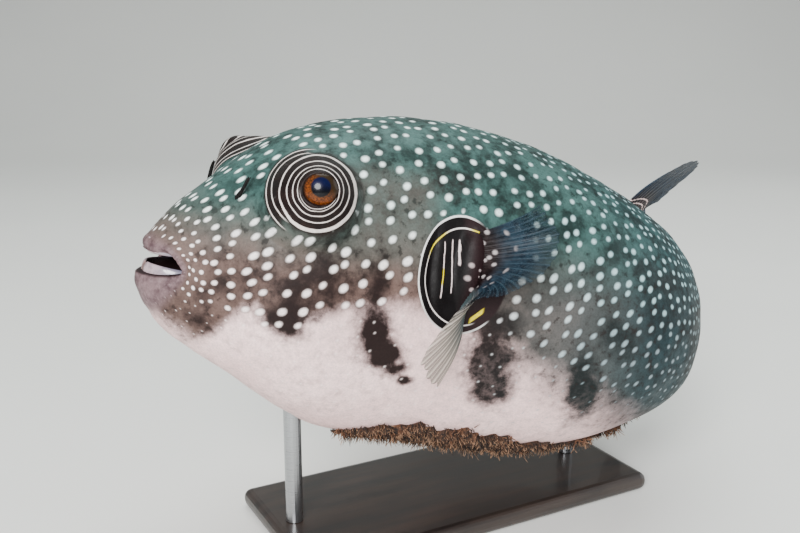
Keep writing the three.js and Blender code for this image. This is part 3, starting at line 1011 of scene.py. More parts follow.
cells = {"Vector": attribute(tree, "flow", "Vector"), "Scale": 1.0, "Randomness": SPOT_SCATTER}
cells = add(tree, "ShaderNodeTexVoronoi", cells, voronoi_dimensions="2D", feature="F1").outputs
chance = add(tree, "ShaderNodeSeparateColor", {"Color": cells["Color"]}).outputs[0]
spot_size = both(tree, ramp(tree, chance, 0, 1, 0.82, 1.14), attribute(tree, "spotted"))
inside = maths(tree, "SUBTRACT", spot_size, cells["Distance"])
inside = maths(tree, "ADD", inside, swing(tree, small, 0.12))
shaded = both(tree, ramp(tree, inside, -0.2, -0.04), ramp(tree, spot_size, 0.05, 0.15, 0, 0.35))
# On the back the ring round each spot and the spot itself take the painted blue-green water light.
coat = blend(tree, shaded, coat, blend(tree, upward, SPOT["shade"], SPOT["shade_back"]))
spot_tone = blend(tree, upward, SPOT["flank"], SPOT["back"])
spot_tone = blend(tree, rearward, spot_tone, SPOT["rear"])
spot_tone = blend(tree, both(tree, rearward, ramp(tree, fish_z, 16, -14)), spot_tone, SPOT["dim"])
spot = ramp(tree, inside, -0.12, 0.09)
coat = blend(tree, spot, coat, spot_tone)
print("nodes after the spots:", len(tree.nodes))

# %% Skin finish: ring lines from a colour ramp
RING_SCALE = 24.0  # the ramp goes this far, in millimetres


def ring_ramp(tree, value, lines):
    """White lines at the given radii, from a colour ramp over the whole reach."""
    node = add(tree, "ShaderNodeValToRGB", {"Fac": maths(tree, "DIVIDE", value, RING_SCALE)})
    stops = node.color_ramp.elements
    stops[0].position, stops[0].color = 0, (0, 0, 0, 1)
    stops[1].position, stops[1].color = 1, (0, 0, 0, 1)
    for line, half in lines:
        for offset, tone in ((-half * 2, 0), (-half * 0.5, 1), (half * 0.5, 1), (half * 2, 0)):
            stop = stops.new((line + offset) / RING_SCALE)
            stop.color = (tone, tone, tone, 1)
    return node.outputs["Color"]


print("the rings' ramp spans", RING_SCALE, "mm")

# %% Skin finish: rings round the eyes
RING = tones(ground=(19, 11, 10), ground_pale=(36, 24, 21), halo=(40, 30, 28), line=(226, 216, 210))
RING_LINES = ((7.8, 0.1), (9.45, 0.12), (11.6, 0.15))  # reach and half width
INNER_RING = 7.0
OUTER_RING = 14.43
ARC_LINES = ((14.35, 0.17), (17.05, 0.16))
RING_WOBBLE = 1.1

ring = attribute(tree, "ring")
sway = swing(tree, wobble, RING_WOBBLE)
wavy = maths(tree, "ADD", ring, sway)
arc = maths(tree, "ADD", attribute(tree, "arc"), sway)
arc_zone = both(tree, fade(tree, arc, 17.3, 18.8), attribute(tree, "arc_open"))
dark_zone = maths(tree, "MULTIPLY", arc_zone, 0.95)
dark_zone = maths(tree, "MAXIMUM", fade(tree, ring, 14.7, 16.6), dark_zone)
# Painted shadow: outside the outer ring and below the eye's top the skin turns dark brown, as the eye
# mound shades it.
halo = both(
    tree, fade(tree, ring, 14.8, 19.5, 0.75), ramp(tree, fish_z, 58, 46),
    ramp(tree, broad, 0.3, 0.6, 0.4, 1), fade(tree, spot, 0, 1),
)
coat = blend(tree, halo, coat, RING["halo"])
ring_ground = blend(tree, ramp(tree, small, 0.4, 0.8), RING["ground"], RING["ground_pale"])
coat = blend(tree, dark_zone, coat, ring_ground)
weight = ramp(tree, maths(tree, "SUBTRACT", fish_x, fish_z), 2, 26, 0.12, 0.5)
outer_ring = maths(tree, "ABSOLUTE", maths(tree, "SUBTRACT", wavy, OUTER_RING))
outer_ring = fade(tree, maths(tree, "SUBTRACT", outer_ring, weight), -0.05, 0.3)
inner_ring = band(tree, wavy, INNER_RING, 0.05, 0.14)
inner_ring = both(tree, inner_ring, ramp(tree, fish_z, 40, 33, 0, 0.75))
arc_lines = both(tree, ring_ramp(tree, arc, ARC_LINES), arc_zone, ramp(tree, ring, 14.0, 14.9))
lines = ring_ramp(tree, wavy, RING_LINES)
lines = chain(tree, "MAXIMUM", lines, outer_ring, inner_ring, arc_lines)
coat = blend(tree, lines, coat, RING["line"])
print("nodes after the rings:", len(tree.nodes))

# %% Skin finish: the dark oval at the side fin
OVAL = tones(
    ground=(10, 7, 8), flesh=(32, 19, 21), dot=(184, 168, 168), edge=(226, 224, 222),
    line=(222, 214, 210), stripe=(214, 196, 194), yellow=(216, 196, 34),
)
FLESH_SPOTS = (  # place and height from the middle of the oval, reach
    (1.0, 5.6, 1.3), (0.3, 0.2, 1.4), (2.6, -4.2, 1.1), (4.6, 4.0, 0.7), (4.8, 1.4, 0.6),
)

field_x, field_z, field = split(tree, attribute(tree, "field", "Vector"))
field_tone = blend(tree, ramp(tree, field_x, -1.5, 2.5), OVAL["ground"], OVAL["flesh"])
coat = blend(tree, fade(tree, field, 0.97, 1.03), coat, field_tone)
flat_field = add(tree, "ShaderNodeCombineXYZ", {"X": field_x, "Y": field_z}).outputs[0]
for spot_x, spot_z, reach in FLESH_SPOTS:
    inputs = {0: flat_field, 1: (spot_x, spot_z, 0)}
    off = add(tree, "ShaderNodeVectorMath", inputs, operation="DISTANCE").outputs["Value"]
    coat = blend(tree, fade(tree, off, reach * 0.35, reach * 1.15, 0.75), coat, OVAL["dot"])
ahead_of_fin = maths(tree, "MAXIMUM", fade(tree, field_x, 2, 9), fade(tree, field_z, -19, -16))
edge_line = both(
    tree, band(tree, field, 1.0, 0.008, 0.018), ahead_of_fin, ramp(tree, field_z, -19, -10, 0.6, 1)
)
coat = blend(tree, edge_line, coat, OVAL["edge"])
front_yellow = both(
    tree, ramp(tree, field_x, -15, -13), fade(tree, field_x, -9, -5), ramp(tree, field_z, 3, 6)
)
top_yellow = both(tree, ramp(tree, field_x, 1, 3), ramp(tree, field_z, 4, 8))
yellow = maths(tree, "MAXIMUM", front_yellow, top_yellow)
inner_line = band(tree, attribute(tree, "inner_field"), 1.0, 0.005, 0.018)
inner_line = both(tree, inner_line, fade(tree, field_x, 4, 8))
coat = blend(tree, inner_line, coat, blend(tree, yellow, OVAL["line"], OVAL["yellow"]))
print("nodes after the oval:", len(tree.nodes))

# %% Skin finish: the short lines inside the oval
STRIPES = (  # place and middle height from the middle of the oval, half height, lean
    (-7.9, 1.6, 10.6, 0.0),
    (-4.2, 3.4, 10.0, -0.05),
    (-2.4, 9.4, 4.3, 0.02),
)
DASH_AT = (-22.7, 7.6)  # height of the slanting yellow dash, and where it lies along the body

gold = both(tree, band(tree, field_z, -1, 2.5, 1.5), fade(tree, field_x, -5.5, -5))
stripe_tone = blend(tree, gold, OVAL["stripe"], OVAL["yellow"])
for stripe_x, stripe_z, half, lean in STRIPES:
    leaning = chain(tree, "ADD", scaled(tree, field_z, -lean, field_x), swing(tree, wobble, 1.0))
    stripe = band(tree, leaning, stripe_x, 0.12, 0.25)
    stripe = both(tree, stripe, band(tree, field_z, stripe_z, half, 1.0))
    coat = blend(tree, stripe, coat, stripe_tone)
slant = maths(tree, "SUBTRACT", field_z, field_x)
dash = both(tree, band(tree, slant, DASH_AT[0], 0.8, 0.7), band(tree, field_x, DASH_AT[1], 1.8, 1.2))
coat = blend(tree, dash, coat, OVAL["yellow"])
print("lines inside the oval:", len(STRIPES) + 1)

# %% Skin finish: lips, mouth and grain
LIPS = tones(pale=(120, 99, 102), dark=(78, 60, 64), inside=(30, 17, 18))

lip_tone = blend(tree, ramp(tree, small, 0.35, 0.7), LIPS["pale"], LIPS["dark"])
coat = blend(tree, maths(tree, "MULTIPLY", attribute(tree, "lips"), 0.92), coat, lip_tone)
# Painted shade: inside the mouth the skin is dark, as the shade in there makes it.
coat = blend(tree, attribute(tree, "mouth"), coat, LIPS["inside"])
grained = {0: coat, "Scale": ramp(tree, fine, 0.3, 0.7, 0.82, 1.06)}
grained = add(tree, "ShaderNodeVectorMath", grained, operation="SCALE").outputs[0]
bumps = scaled(tree, small, 0.8, maths(tree, "MULTIPLY", fine, 0.35))
skin_material = finish_material(
    "puffer_skin", grained, ramp(tree, small, 0.3, 0.7, 0.42, 0.6), bumps, 0.3, 0.0006,
    specular_ior_level=0.14,
)
skin.data.materials.append(skin_material)

# %% [markdown]
# ## Eyes
# A puffer's eye is a smooth ball behind clear skin, with a round pupil and a coppery iris. The
# ball is turned so that its pole looks out of the head; rings of faces then follow the iris.

# %% Eyeballs
def eyeball(name, side):
    middle, out, forward, upward = eye_axes(side)
    form = bmesh.new()
    bmesh.ops.create_uvsphere(form, u_segments=64, v_segments=48, radius=EYE_RADIUS)
    gaze = np.array([vert.co for vert in form.verts])
    places = stand_frame(gaze @ np.stack([forward, upward, out]) + middle)
    for vert, corner in zip(form.verts, places):
        vert.co = corner
    bmesh.ops.recalc_face_normals(form, faces=form.faces)
    mesh = bpy.data.meshes.new(name)
    form.to_mesh(mesh)
    form.free()
    keep_on_points(mesh, "gaze", gaze)
    mesh.shade_smooth()
    print(name, "faces", len(mesh.polygons))
    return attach(placed(name, mesh), "root")


# %% Iris and pupil
IRIS_REACH = 6.9
PUPIL_REACH = 3.6
PUPIL_LIFT = (0.05, 0.9, 0)  # the pupil looks up a little
IRIS = tones(
    copper=(112, 56, 18), copper_dark=(44, 22, 8), shade=(38, 27, 15), rim=(20, 15, 11),
    round_pupil=(30, 24, 12), pupil=(2, 3, 8), pupil_lit=(5, 9, 42),
)

tree = new_material("eye_shine")
gaze = attribute(tree, "gaze", "Vector")
ahead, up, _ = split(tree, gaze)
flat = add(tree, "ShaderNodeVectorMath", {0: gaze, 1: (1, 1, 0)}, operation="MULTIPLY").outputs[0]
reach = add(tree, "ShaderNodeVectorMath", {0: flat}, operation="LENGTH").outputs["Value"]
from_pupil = {0: flat, 1: PUPIL_LIFT}
from_pupil = add(tree, "ShaderNodeVectorMath", from_pupil, operation="DISTANCE").outputs["Value"]
fibre = noise(tree, gaze, 1.6, 5, 0.7)
iris = blend(tree, ramp(tree, fibre, 0.35, 0.65), IRIS["copper"], IRIS["copper_dark"])
# Painted shade: the iris darkens towards its upper back edge, where the lid shadows it.
lit_side = scaled(tree, ahead, 0.5, maths(tree, "MULTIPLY", up, -0.5))
iris = blend(tree, fade(tree, lit_side, -3, 1), iris, IRIS["shade"])
iris = blend(tree, ramp(tree, reach, IRIS_REACH - 1.6, IRIS_REACH - 0.3), iris, IRIS["rim"])
beside_pupil = fade(tree, from_pupil, PUPIL_REACH - 0.4, PUPIL_REACH + 1.0, 0.75)
iris = blend(tree, beside_pupil, iris, IRIS["round_pupil"])
# Painted reflection: the pupil turns blue towards its top, a painted sheen.
black = blend(tree, ramp(tree, up, -1, 3), IRIS["pupil"], IRIS["pupil_lit"])
in_pupil = fade(tree, from_pupil, PUPIL_REACH - 0.2, PUPIL_REACH + 0.2)
eye_shine = finish_material(
    "eye_shine", blend(tree, in_pupil, iris, black), ramp(tree, fibre, 0, 1, 0.22, 0.3),
    specular_ior_level=0.12, coat_weight=0.2, coat_roughness=0.03,
)
for side, name in ((-1, "left"), (1, "right")):
    ball = eyeball("eyeball_" + name, side)
    ball.data.materials.append(eye_shine)
    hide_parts("eye_" + name)

# %% [markdown]
# ## Beak
# A puffer's teeth are grown together into two plates above and two below, with a seam in the
# middle. A plate could be cut from a thick ring; here a tall oval section is swept along the
# curve of the jaw and closed at both ends, and the seam is pressed into it.

# %% Beak plates
BEAKS = {
    "upper": dict(front=4.2, side=12.5, depth=17, root=8, edge=1.6, thick=2.4),
    "lower": dict(front=4.3, side=12.6, depth=17.5, root=-11, edge=-2.3, thick=2.6),
}
BEAK_SWEEP = 1.35
SEAM_DEPTH = 0.45
SEAM_NOTCH = 0.25  # share of the plate's height that its edge gives up at the seam


def beak_points(front, side, depth, root, edge, thick):
    def place_points(share_round, share_along):
        angle = (share_along * 2 - 1) * BEAK_SWEEP
        turn = share_round * 2 * math.pi
        closed = at_end(share_along)
        inward = np.where(closed, 0, thick / 2 * np.cos(turn))
        half = (root - edge) / 2 * np.sin(turn) * (0.75 + 0.25 * np.cos(angle))
        tall = np.where(closed, 0, half)
        inward = inward - SEAM_DEPTH * hump(angle, 0.05) * (np.cos(turn) > 0)
        tall = tall * (1 - SEAM_NOTCH * hump(angle, 0.09) * (half * root < 0))
        x = front + depth * (1 - np.cos(angle)) - inward * np.cos(angle)
        y = (side + inward) * np.sin(angle)
        tooth = np.stack([x, y, (root + edge) / 2 + tall], -1)
        return stand_frame(tooth), {"bite": np.stack([angle, tall, np.cos(turn)], -1)}
    return place_points


print("beak plates:", ", ".join(BEAKS))

# %% Enamel
ENAMEL = tones(
    pale=(174, 154, 158), mottled=(134, 118, 124), seam=(84, 56, 44), side=(112, 108, 124),
    inside=(34, 26, 27),
)

tree = new_material("tooth_enamel")
angle, _, outer = split(tree, attribute(tree, "bite", "Vector"))
from_seam = maths(tree, "ABSOLUTE", angle)
ivory, mottle = mottled(
    tree, object_place(tree), 500, 4, (0.35, 0.7), ENAMEL["pale"], ENAMEL["mottled"]
)
ivory = blend(tree, fade(tree, from_seam, 0.02, 0.2, 0.85), ivory, ENAMEL["seam"])
ivory = blend(tree, ramp(tree, from_seam, 0.35, 1.2), ivory, ENAMEL["side"])
# Painted shade: the inner face of each plate, turned into the mouth, is dark.
ivory = blend(tree, fade(tree, outer, -0.5, 0.2), ivory, ENAMEL["inside"])
enamel = finish_material(
    "tooth_enamel", ivory, ramp(tree, mottle, 0, 1, 0.2, 0.4), mottle, 0.2, 0.0004,
    coat_weight=0.5,
)
for name, sizes in BEAKS.items():
    plate = wrapped_grid("beak_plate_" + name, 32, 64, beak_points(**sizes))
    plate.data.materials.append(enamel)
    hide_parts("beak_" + name)

# %% [markdown]
# ## Fins
# A fin is a thin skin stretched over bony rays that fan out from the root. A solid fan could be
# cut from a sheet, but a ruled surface follows the real make: each ray is a line from the root
# to the margin. The rays stand proud on both faces and the skin between them ends ragged.

# %% Smooth lines
def smooth_line(points, share):
    """A point of the smooth line through the given ones, with steady speed at its corners."""
    points = np.asarray(points, float)
    points = np.vstack([2 * points[0] - points[1], points, 2 * points[-1] - points[-2]])
    at = share * (len(points) - 3)
    i = min(int(at), len(points) - 4)
    w = at - i
    a, b, c, d = points[i : i + 4]
    gap = [max(np.linalg.norm(q - p) ** 0.5, 1e-4) for p, q in ((a, b), (b, c), (c, d))]
    out = (b - a) / gap[0] - (c - a) / (gap[0] + gap[1]) + (c - b) / gap[1]
    into = (c - b) / gap[1] - (d - b) / (gap[1] + gap[2]) + (d - c) / gap[2]
    out, into = out * gap[1], into * gap[1]
    cubic = 2 * b - 2 * c + out + into
    square = -3 * b + 3 * c - 2 * out - into
    return b + out * w + square * w**2 + cubic * w**3


print("half way along a bent line:", smooth_line(((0, 0), (1, 1), (2, 0)), 0.5))

# %% Fin blades
FIN_ROOT = 2.4
FIN_EDGE = 0.5


def both_faces(share_round):
    """Which face of a folded sheet a point lies on, 1 or -1, and how far across it lies."""
    face = np.where(share_round <= 0.5, 1.0, -1.0)
    return face, np.where(face > 0, share_round * 2, 2 - share_round * 2)


def fin_points(root, margin, bulge, rays, ragged, seed):
    """Places on a fin: a sheet of straight rays, thick on each ray and frayed at the margin."""
    tips = np.random.default_rng(seed).uniform(-1, 1, rays + 2)

    def sheet(share, reach):
        roots = np.array([smooth_line(root, s) for s in share[0]])
        margins = np.array([smooth_line(margin, s) for s in share[0]])
        blade = roots[None] * (1 - reach[..., None]) + margins[None] * reach[..., None]
        return blade + np.sin(math.pi * np.clip(reach, 0, 1))[..., None] * np.array(bulge)

    def place_points(share_round, share_out):
        face, share = both_faces(share_round)
        ray = share * rays
        crest = 0.5 + 0.5 * np.cos(2 * math.pi * ray)
        uneven = np.interp(ray, np.arange(rays + 2), tips)
        fray = 1 - ragged * (1 - crest**0.5) * (0.6 + 0.4 * uneven) - ragged * 0.4 * (uneven + 1)
        outer_half = np.maximum(share_out - 0.5, 0) * 2
        reach = share_out * (1 + (fray - 1) * outer_half)
        mid = sheet(share, reach)
        next_ray = sheet(np.clip(share + 0.01, 0, 1), reach)
        last_ray = sheet(np.clip(share - 0.01, 0, 1), reach)
        out = unit(np.cross(np.gradient(mid, axis=0), next_ray - last_ray))
        thick = FIN_ROOT + (FIN_EDGE - FIN_ROOT) * np.sqrt(share_out)
        thick = thick * (0.86 + 0.26 * crest**2)
        thick = np.where(at_end(share_out) | at_end(share), 0, thick)
        blade = mid + out * (face * thick / 2)[..., None]
        return stand_frame(blade), {"ray": np.stack([ray, share_out, share], -1)}
    return place_points


print("fin thickness in mm:", FIN_ROOT, "to", FIN_EDGE)

# %% Roots and margins of the fins
LEFT_PECTORAL = dict(
    root=[[119, -53, 28], [121.5, -58, 20], [122, -59, 13], [121, -59, 6], [118, -58, -1]],
    margin=[
        [134, -75, 46], [144, -78, 36], [139, -83, 24], [118, -86, 12], [111, -71, 4],
        [93, -74, -20], [104, -71, -32],
    ],
    bulge=[2, -3, 1], rays=24, ragged=0.06, seed=3,
)
RIGHT_PECTORAL = dict(
    root=[[119, 53, 28], [121.5, 58, 20], [122, 59, 13], [121, 59, 6], [118, 58, -1]],
    margin=[[140, 78, 50], [152, 86, 38], [156, 88, 22], [150, 86, 4], [134, 80, -10]],
    bulge=[3, 2, 1], rays=20, ragged=0.05, seed=4,
)
DORSAL = dict(
    root=[[266, 0, 34], [275, 0, 33], [285, 0, 31], [297, 0, 27]],
    margin=[[296, -15, 62], [311, -22, 69], [325, -26, 68], [317, -20, 58], [304, -10, 43]],
    bulge=[-2, 2, 1], rays=11, ragged=0.06, seed=5,
)
ANAL = dict(
    root=[[280, 0, -30], [288, 0, -27], [296, 0, -22], [304, 0, -17]],
    margin=[[300, -7, -62], [313, -10, -64], [323, -11, -58], [324, -9, -47], [318, -6, -37]],
    bulge=[-1, 1.5, 0], rays=10, ragged=0.06, seed=6,
)
CAUDAL = dict(
    root=[[334, 0, 27], [336, 0, 17], [337, 0, 7], [336, 0, -3], [334, 0, -12]],
    margin=[[396, 3, 35], [410, 5, 24], [415, 6, 7], [410, 5, -10], [396, 3, -21]],
    bulge=[0, -1.5, 0], rays=10, ragged=0.05, seed=7,
)
print("rays of the side fins:", LEFT_PECTORAL["rays"], RIGHT_PECTORAL["rays"])

# %% [markdown]
# ## The finish of a fin
# Near its root a fin is dark flesh; further out only a web of thin skin lies between the rays,
# and light comes through it. Glass would be too clear for that. Instead the material is partly
# see-through, most at the margin and least on the rays, where the fin is thickest.

# %% Rays, lobe and root lines
LOBE_TONES = tones(root=(56, 68, 70), web=(122, 115, 106), ray=(196, 182, 171), dot=(186, 176, 176))
DOT_SQUEEZE = (0.3, 6.5, 0.0)  # the dots lie this close across the rays and along them
ROOT_LINE = colour(214, 188, 184)
ROOT_LINES = 14  # as many would fit from the root to the margin


def ray_crest(tree, ray_at, ray_out):
    """1 on each ray, and further out also on the branches that it forks into."""
    single = maths(tree, "COSINE", maths(tree, "MULTIPLY", ray_at, 2 * math.pi))
    forked = maths(tree, "COSINE", maths(tree, "MULTIPLY", ray_at, 4 * math.pi))
    forked = both(tree, ramp(tree, forked, 0.5, 0.98), ramp(tree, ray_out, 0.5, 0.75), 0.7)
    return maths(tree, "MAXIMUM", ramp(tree, single, 0.45, 0.98), forked)


def lobe_marks(tree, web, ray, lobe, crest):
    """Makes the lower lobe pale, and sets dots on the dark flesh of the upper one."""
    _, ray_out, ray_share = split(tree, ray)
    pale = blend(tree, crest, LOBE_TONES["web"], LOBE_TONES["ray"])
    pale = blend(tree, ramp(tree, ray_out, 0.2, 0.75), LOBE_TONES["root"], pale)
    web = blend(tree, lobe, web, pale)
    dots = {"Vector": squeezed(tree, ray, DOT_SQUEEZE), "Scale": 1.0, "Randomness": 0.9}
    dots = add(tree, "ShaderNodeTexVoronoi", dots, voronoi_dimensions="2D").outputs["Distance"]
    dots = both(
        tree, fade(tree, dots, 0.06, 0.24, 0.7), ramp(tree, ray_out, 0.03, 0.08),
        fade(tree, ray_out, 0.3, 0.42), fade(tree, ray_share, 0.6, 0.68),
    )
    return blend(tree, dots, web, LOBE_TONES["dot"])


def root_marks(tree, web, ray_out):
    """Draws a few pale lines across the flesh of the root."""
    line = maths(tree, "COSINE", maths(tree, "MULTIPLY", ray_out, 2 * math.pi * ROOT_LINES))
    line = both(tree, ramp(tree, line, 0.55, 0.9), band(tree, ray_out, 0.17, 0.13, 0.03))
    return blend(tree, line, web, ROOT_LINE)


print("tones of the pale lobe:", len(LOBE_TONES))

# %% Fin materials
def fin_material(name, tone, clear, flesh_pace=1.0, lobed=False, lined=False):
    """Dark flesh at the root, and beyond it a web of skin that thins to a clear margin."""
    tree = new_material(name)
    ray = attribute(tree, "ray", "Vector")
    ray_at, ray_out, ray_share = split(tree, ray)
    place = object_place(tree)
    web, mottle = mottled(tree, place, 320, 4, (0.35, 0.65), tone["web"], tone["web_pale"])
    crest = ray_crest(tree, ray_at, ray_out)
    web = blend(tree, both(tree, crest, ramp(tree, ray_out, 0.2, 0.7, 0.15, 0.6)), web, tone["ray"])
    flesh = blend(tree, ramp(tree, mottle, 0.4, 0.7), tone["flesh"], tone["flesh_pale"])
    root_edge = scaled(tree, mottle, 0.12, maths(tree, "MULTIPLY", ray_out, flesh_pace))
    web = blend(tree, fade(tree, root_edge, 0.2, 0.46), web, flesh)
    thin = both(tree, ramp(tree, ray_out, 0.3, 0.95), ramp(tree, crest, 0, 1, clear, clear * 0.7))
    if lobed:
        lobe = ramp(tree, scaled(tree, mottle, 0.05, ray_share), 0.66, 0.80)
        web = lobe_marks(tree, web, ray, lobe, crest)
        thin = both(tree, thin, ramp(tree, lobe, 0, 1, 1, 0.55))
    if lined:
        web = root_marks(tree, web, ray_out)
    return finish_material(
        name, web, ramp(tree, mottle, 0, 1, 0.32, 0.5), crest, 0.3, 0.0004,
        alpha=maths(tree, "SUBTRACT", 1, thin), specular_ior_level=0.14,
    )


SIDE_FIN = tones(
    web=(13, 25, 36), web_pale=(28, 45, 57), ray=(48, 66, 77), flesh=(16, 8, 9), flesh_pale=(34, 24, 24),
)
UPRIGHT_FIN = tones(
    web=(7, 13, 24), web_pale=(17, 31, 47), ray=(40, 58, 77), flesh=(20, 7, 10), flesh_pale=(42, 17, 20),
)
side_fin = fin_material("side_fin_web", SIDE_FIN, clear=0.82, lobed=True)
upright_fin = fin_material("upright_fin_web", UPRIGHT_FIN, clear=0.3, flesh_pace=0.75, lined=True)

# %% Fins
FACES_PER_RAY = 8
FIN_ROWS = 48

for node, name, fin, finish in (
    ("pectoral_fin_left", "side_fin_left", LEFT_PECTORAL, side_fin),
    ("pectoral_fin_right", "side_fin_right", RIGHT_PECTORAL, side_fin),
    ("dorsal_fin", "back_fin", DORSAL, upright_fin),
    ("anal_fin", "vent_fin", ANAL, upright_fin),
    ("caudal_fin", "tail_fin", CAUDAL, upright_fin),
):
    blade = wrapped_grid(name, 2 * FACES_PER_RAY * fin["rays"], FIN_ROWS, fin_points(**fin))
    blade.data.materials.append(finish)
    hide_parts(node)

# %% [markdown]
# ## Nose tabs
# Before each eye stands a small dark tab of skin with a ragged end, which the puffer smells
# with. It could be a cone that is pressed flat. It is made as a tiny fin with two rays, because
# that gives the same thin blade from the functions that are already here.

# %% Nose tabs
TAB_ROOT = ((30.4, 17.8, 27.8), (31.3, 18.2, 28.4), (32.2, 18.6, 29.0))
TAB_MARGIN = ((33.3, 21.6, 37.8), (34.0, 22.2, 39.0), (34.7, 22.3, 38.2))
TAB_BULGE = (0, 0.8, 0)
TAB_TONES = tones(dark=(4, 4, 4), pale=(18, 16, 15))

tree = new_material("nose_skin")
nose_tone, mottle = mottled(
    tree, object_place(tree), 700, 3, (0.35, 0.65), TAB_TONES["dark"], TAB_TONES["pale"]
)
nose_skin = finish_material(
    "nose_skin", nose_tone, ramp(tree, mottle, 0, 1, 0.5, 0.7), mottle, 0.3, 0.0003,
    specular_ior_level=0.14,
)
for side, name in ((-1, "left"), (1, "right")):
    root, margin = (sided(line, side) for line in (TAB_ROOT, TAB_MARGIN))
    tab_points = fin_points(root, margin, sided(TAB_BULGE, side), rays=2, ragged=0.1, seed=8)
    tab = wrapped_grid("nose_tab_" + name, 32, 20, tab_points)
    tab.data.materials.append(nose_skin)
    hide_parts("nose_flap_" + name)

# %% [markdown]
# ## What grows on the belly
# A brown crust of fine weed hangs from the belly. It could be a hair system, but the finished model
# needs a plain mesh. A strand that tapers and curls is modelled once, and three of them at a time are
# set down two thousand times over the crust, each with its own turn, size and lean.

# %% Crust on the belly
GROWTH = dict(front=90, rear=250, middle_y=-27.5, half_x=80, half_y=24, lean=5)
CRUST_THICKNESS = 1.5
CRUST_SUNK = 0.8  # the inner face lies this deep in the skin
SOIL = tones(dark=(18, 9, 6), pale=(92, 58, 38))


def belly_turn(x, y):
    """The turn round the body of a place on the underside."""
    across = np.clip(y / section(x, "half"), -1, 1)
    return np.arcsin(signed_power(across, section(x, "round") / 2))


def growth_disc(p, q):
    """Takes a square's two coordinates, -1 to 1, to places inside the oval of the crust."""
    x = (GROWTH["front"] + GROWTH["rear"]) / 2 + p * np.sqrt(1 - q**2 / 2) * GROWTH["half_x"]
    half = GROWTH["half_y"] * (1 + 0.07 * np.sin(x * 0.33) + 0.05 * np.sin(x * 0.91 + 1))
    return x, GROWTH["middle_y"] + q * np.sqrt(1 - p**2 / 2) * half - p * GROWTH["lean"]


def crust_points(share_round, share_out):
    face, share = both_faces(share_round)
    p, q = share * 2 - 1, share_out * 2 - 1
    x, y = growth_disc(p, q)
    edge = 1 - np.maximum(np.abs(p), np.abs(q))
    lumps = np.sin(x * 1.1 + 2 * np.sin(y * 0.7)) * np.sin(y * 1.3 + np.sin(x * 0.9))
    lumps = lumps + 0.5 * np.sin(x * 2.9 + y) * np.sin(y * 3.1 - x * 0.4)
    grow = np.where(face > 0, CRUST_THICKNESS + lumps * 0.6, -CRUST_SUNK) * step(edge, 0, 0.15)
    return stand_frame(smooth_skin(x, belly_turn(x, y), grow)), {}


crust = wrapped_grid("belly_crust", 320, 60, crust_points)
tree = new_material("brown_growth")
soil, clump = mottled(
    tree, object_place(tree), 420, 6, (0.35, 0.7), SOIL["dark"], SOIL["pale"], 0.7
)
crust.data.materials.append(
    finish_material("brown_growth", soil, ramp(tree, clump, 0, 1, 0.85, 1.0), clump, 0.9, 0.001)
)
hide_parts("belly_growth")

# %% One strand
STRAND_LENGTH = 5.6
STRAND_RADIUS = 0.32
STRAND_TIP = 0.08


def strand_form():
    """One strand of length 1, as the places of its corners and its triangles."""
    form = bmesh.new()
    bmesh.ops.create_cone(
        form, segments=3, radius1=STRAND_RADIUS, radius2=STRAND_TIP, depth=1, cap_ends=True
    )
    long_edges = [edge for edge in form.edges if abs(edge.verts[0].co.z - edge.verts[1].co.z) > 0.5]
    bmesh.ops.subdivide_edges(form, edges=long_edges, cuts=2)
    bmesh.ops.triangulate(form, faces=form.faces)
    bmesh.ops.translate(form, verts=form.verts, vec=(0, 0, 0.5))
    form.verts.index_update()
    corners = np.array([vert.co for vert in form.verts])
    faces = np.array([[vert.index for vert in face.verts] for face in form.faces])
    form.free()
    return corners, faces


strand_corners, strand_faces = strand_form()
print("corners and faces of a strand:", len(strand_corners), len(strand_faces))

# %% Tufts set over the crust
TUFTS = 2000
STRANDS = 3
TUFT_SPREAD = 0.7
PAST_EDGE = 1.04  # some tufts hang on the very edge of the crust
PATCH = 0.003  # width of a tuft's patch on the map


def tuft_roots(rng):
    """Where each strand starts, how grown it is, and the middle of its tuft's patch of the map."""
    p, q = rng.uniform(-PAST_EDGE, PAST_EDGE, (2, TUFTS))
    x, y = growth_disc(np.clip(p, -1, 1), q)
    clumps = 0.7 + 0.5 * np.sin(x * 0.55) * np.sin(y * 0.5 + x * 0.2)
    grown = rng.uniform(0.35, 1.0, TUFTS) * clumps
    patches = np.clip(np.stack([(p + 1) / 2, (q + 1) / 2], -1), PATCH, 1 - PATCH)
    x, y, grown, patches = (np.repeat(a, STRANDS, 0) for a in (x, y, grown, patches))
    x = x + rng.normal(0, TUFT_SPREAD, len(x))
    y = y + rng.normal(0, TUFT_SPREAD, len(y))
    return x, y, grown, patches


print("strands to set:", TUFTS * STRANDS)

# %% Strands as one mesh
TUFT_LEAN = 0.45
TUFT_ROOT = 0.8  # the strands start this far out from the plain skin
SHORTEST = 0.25


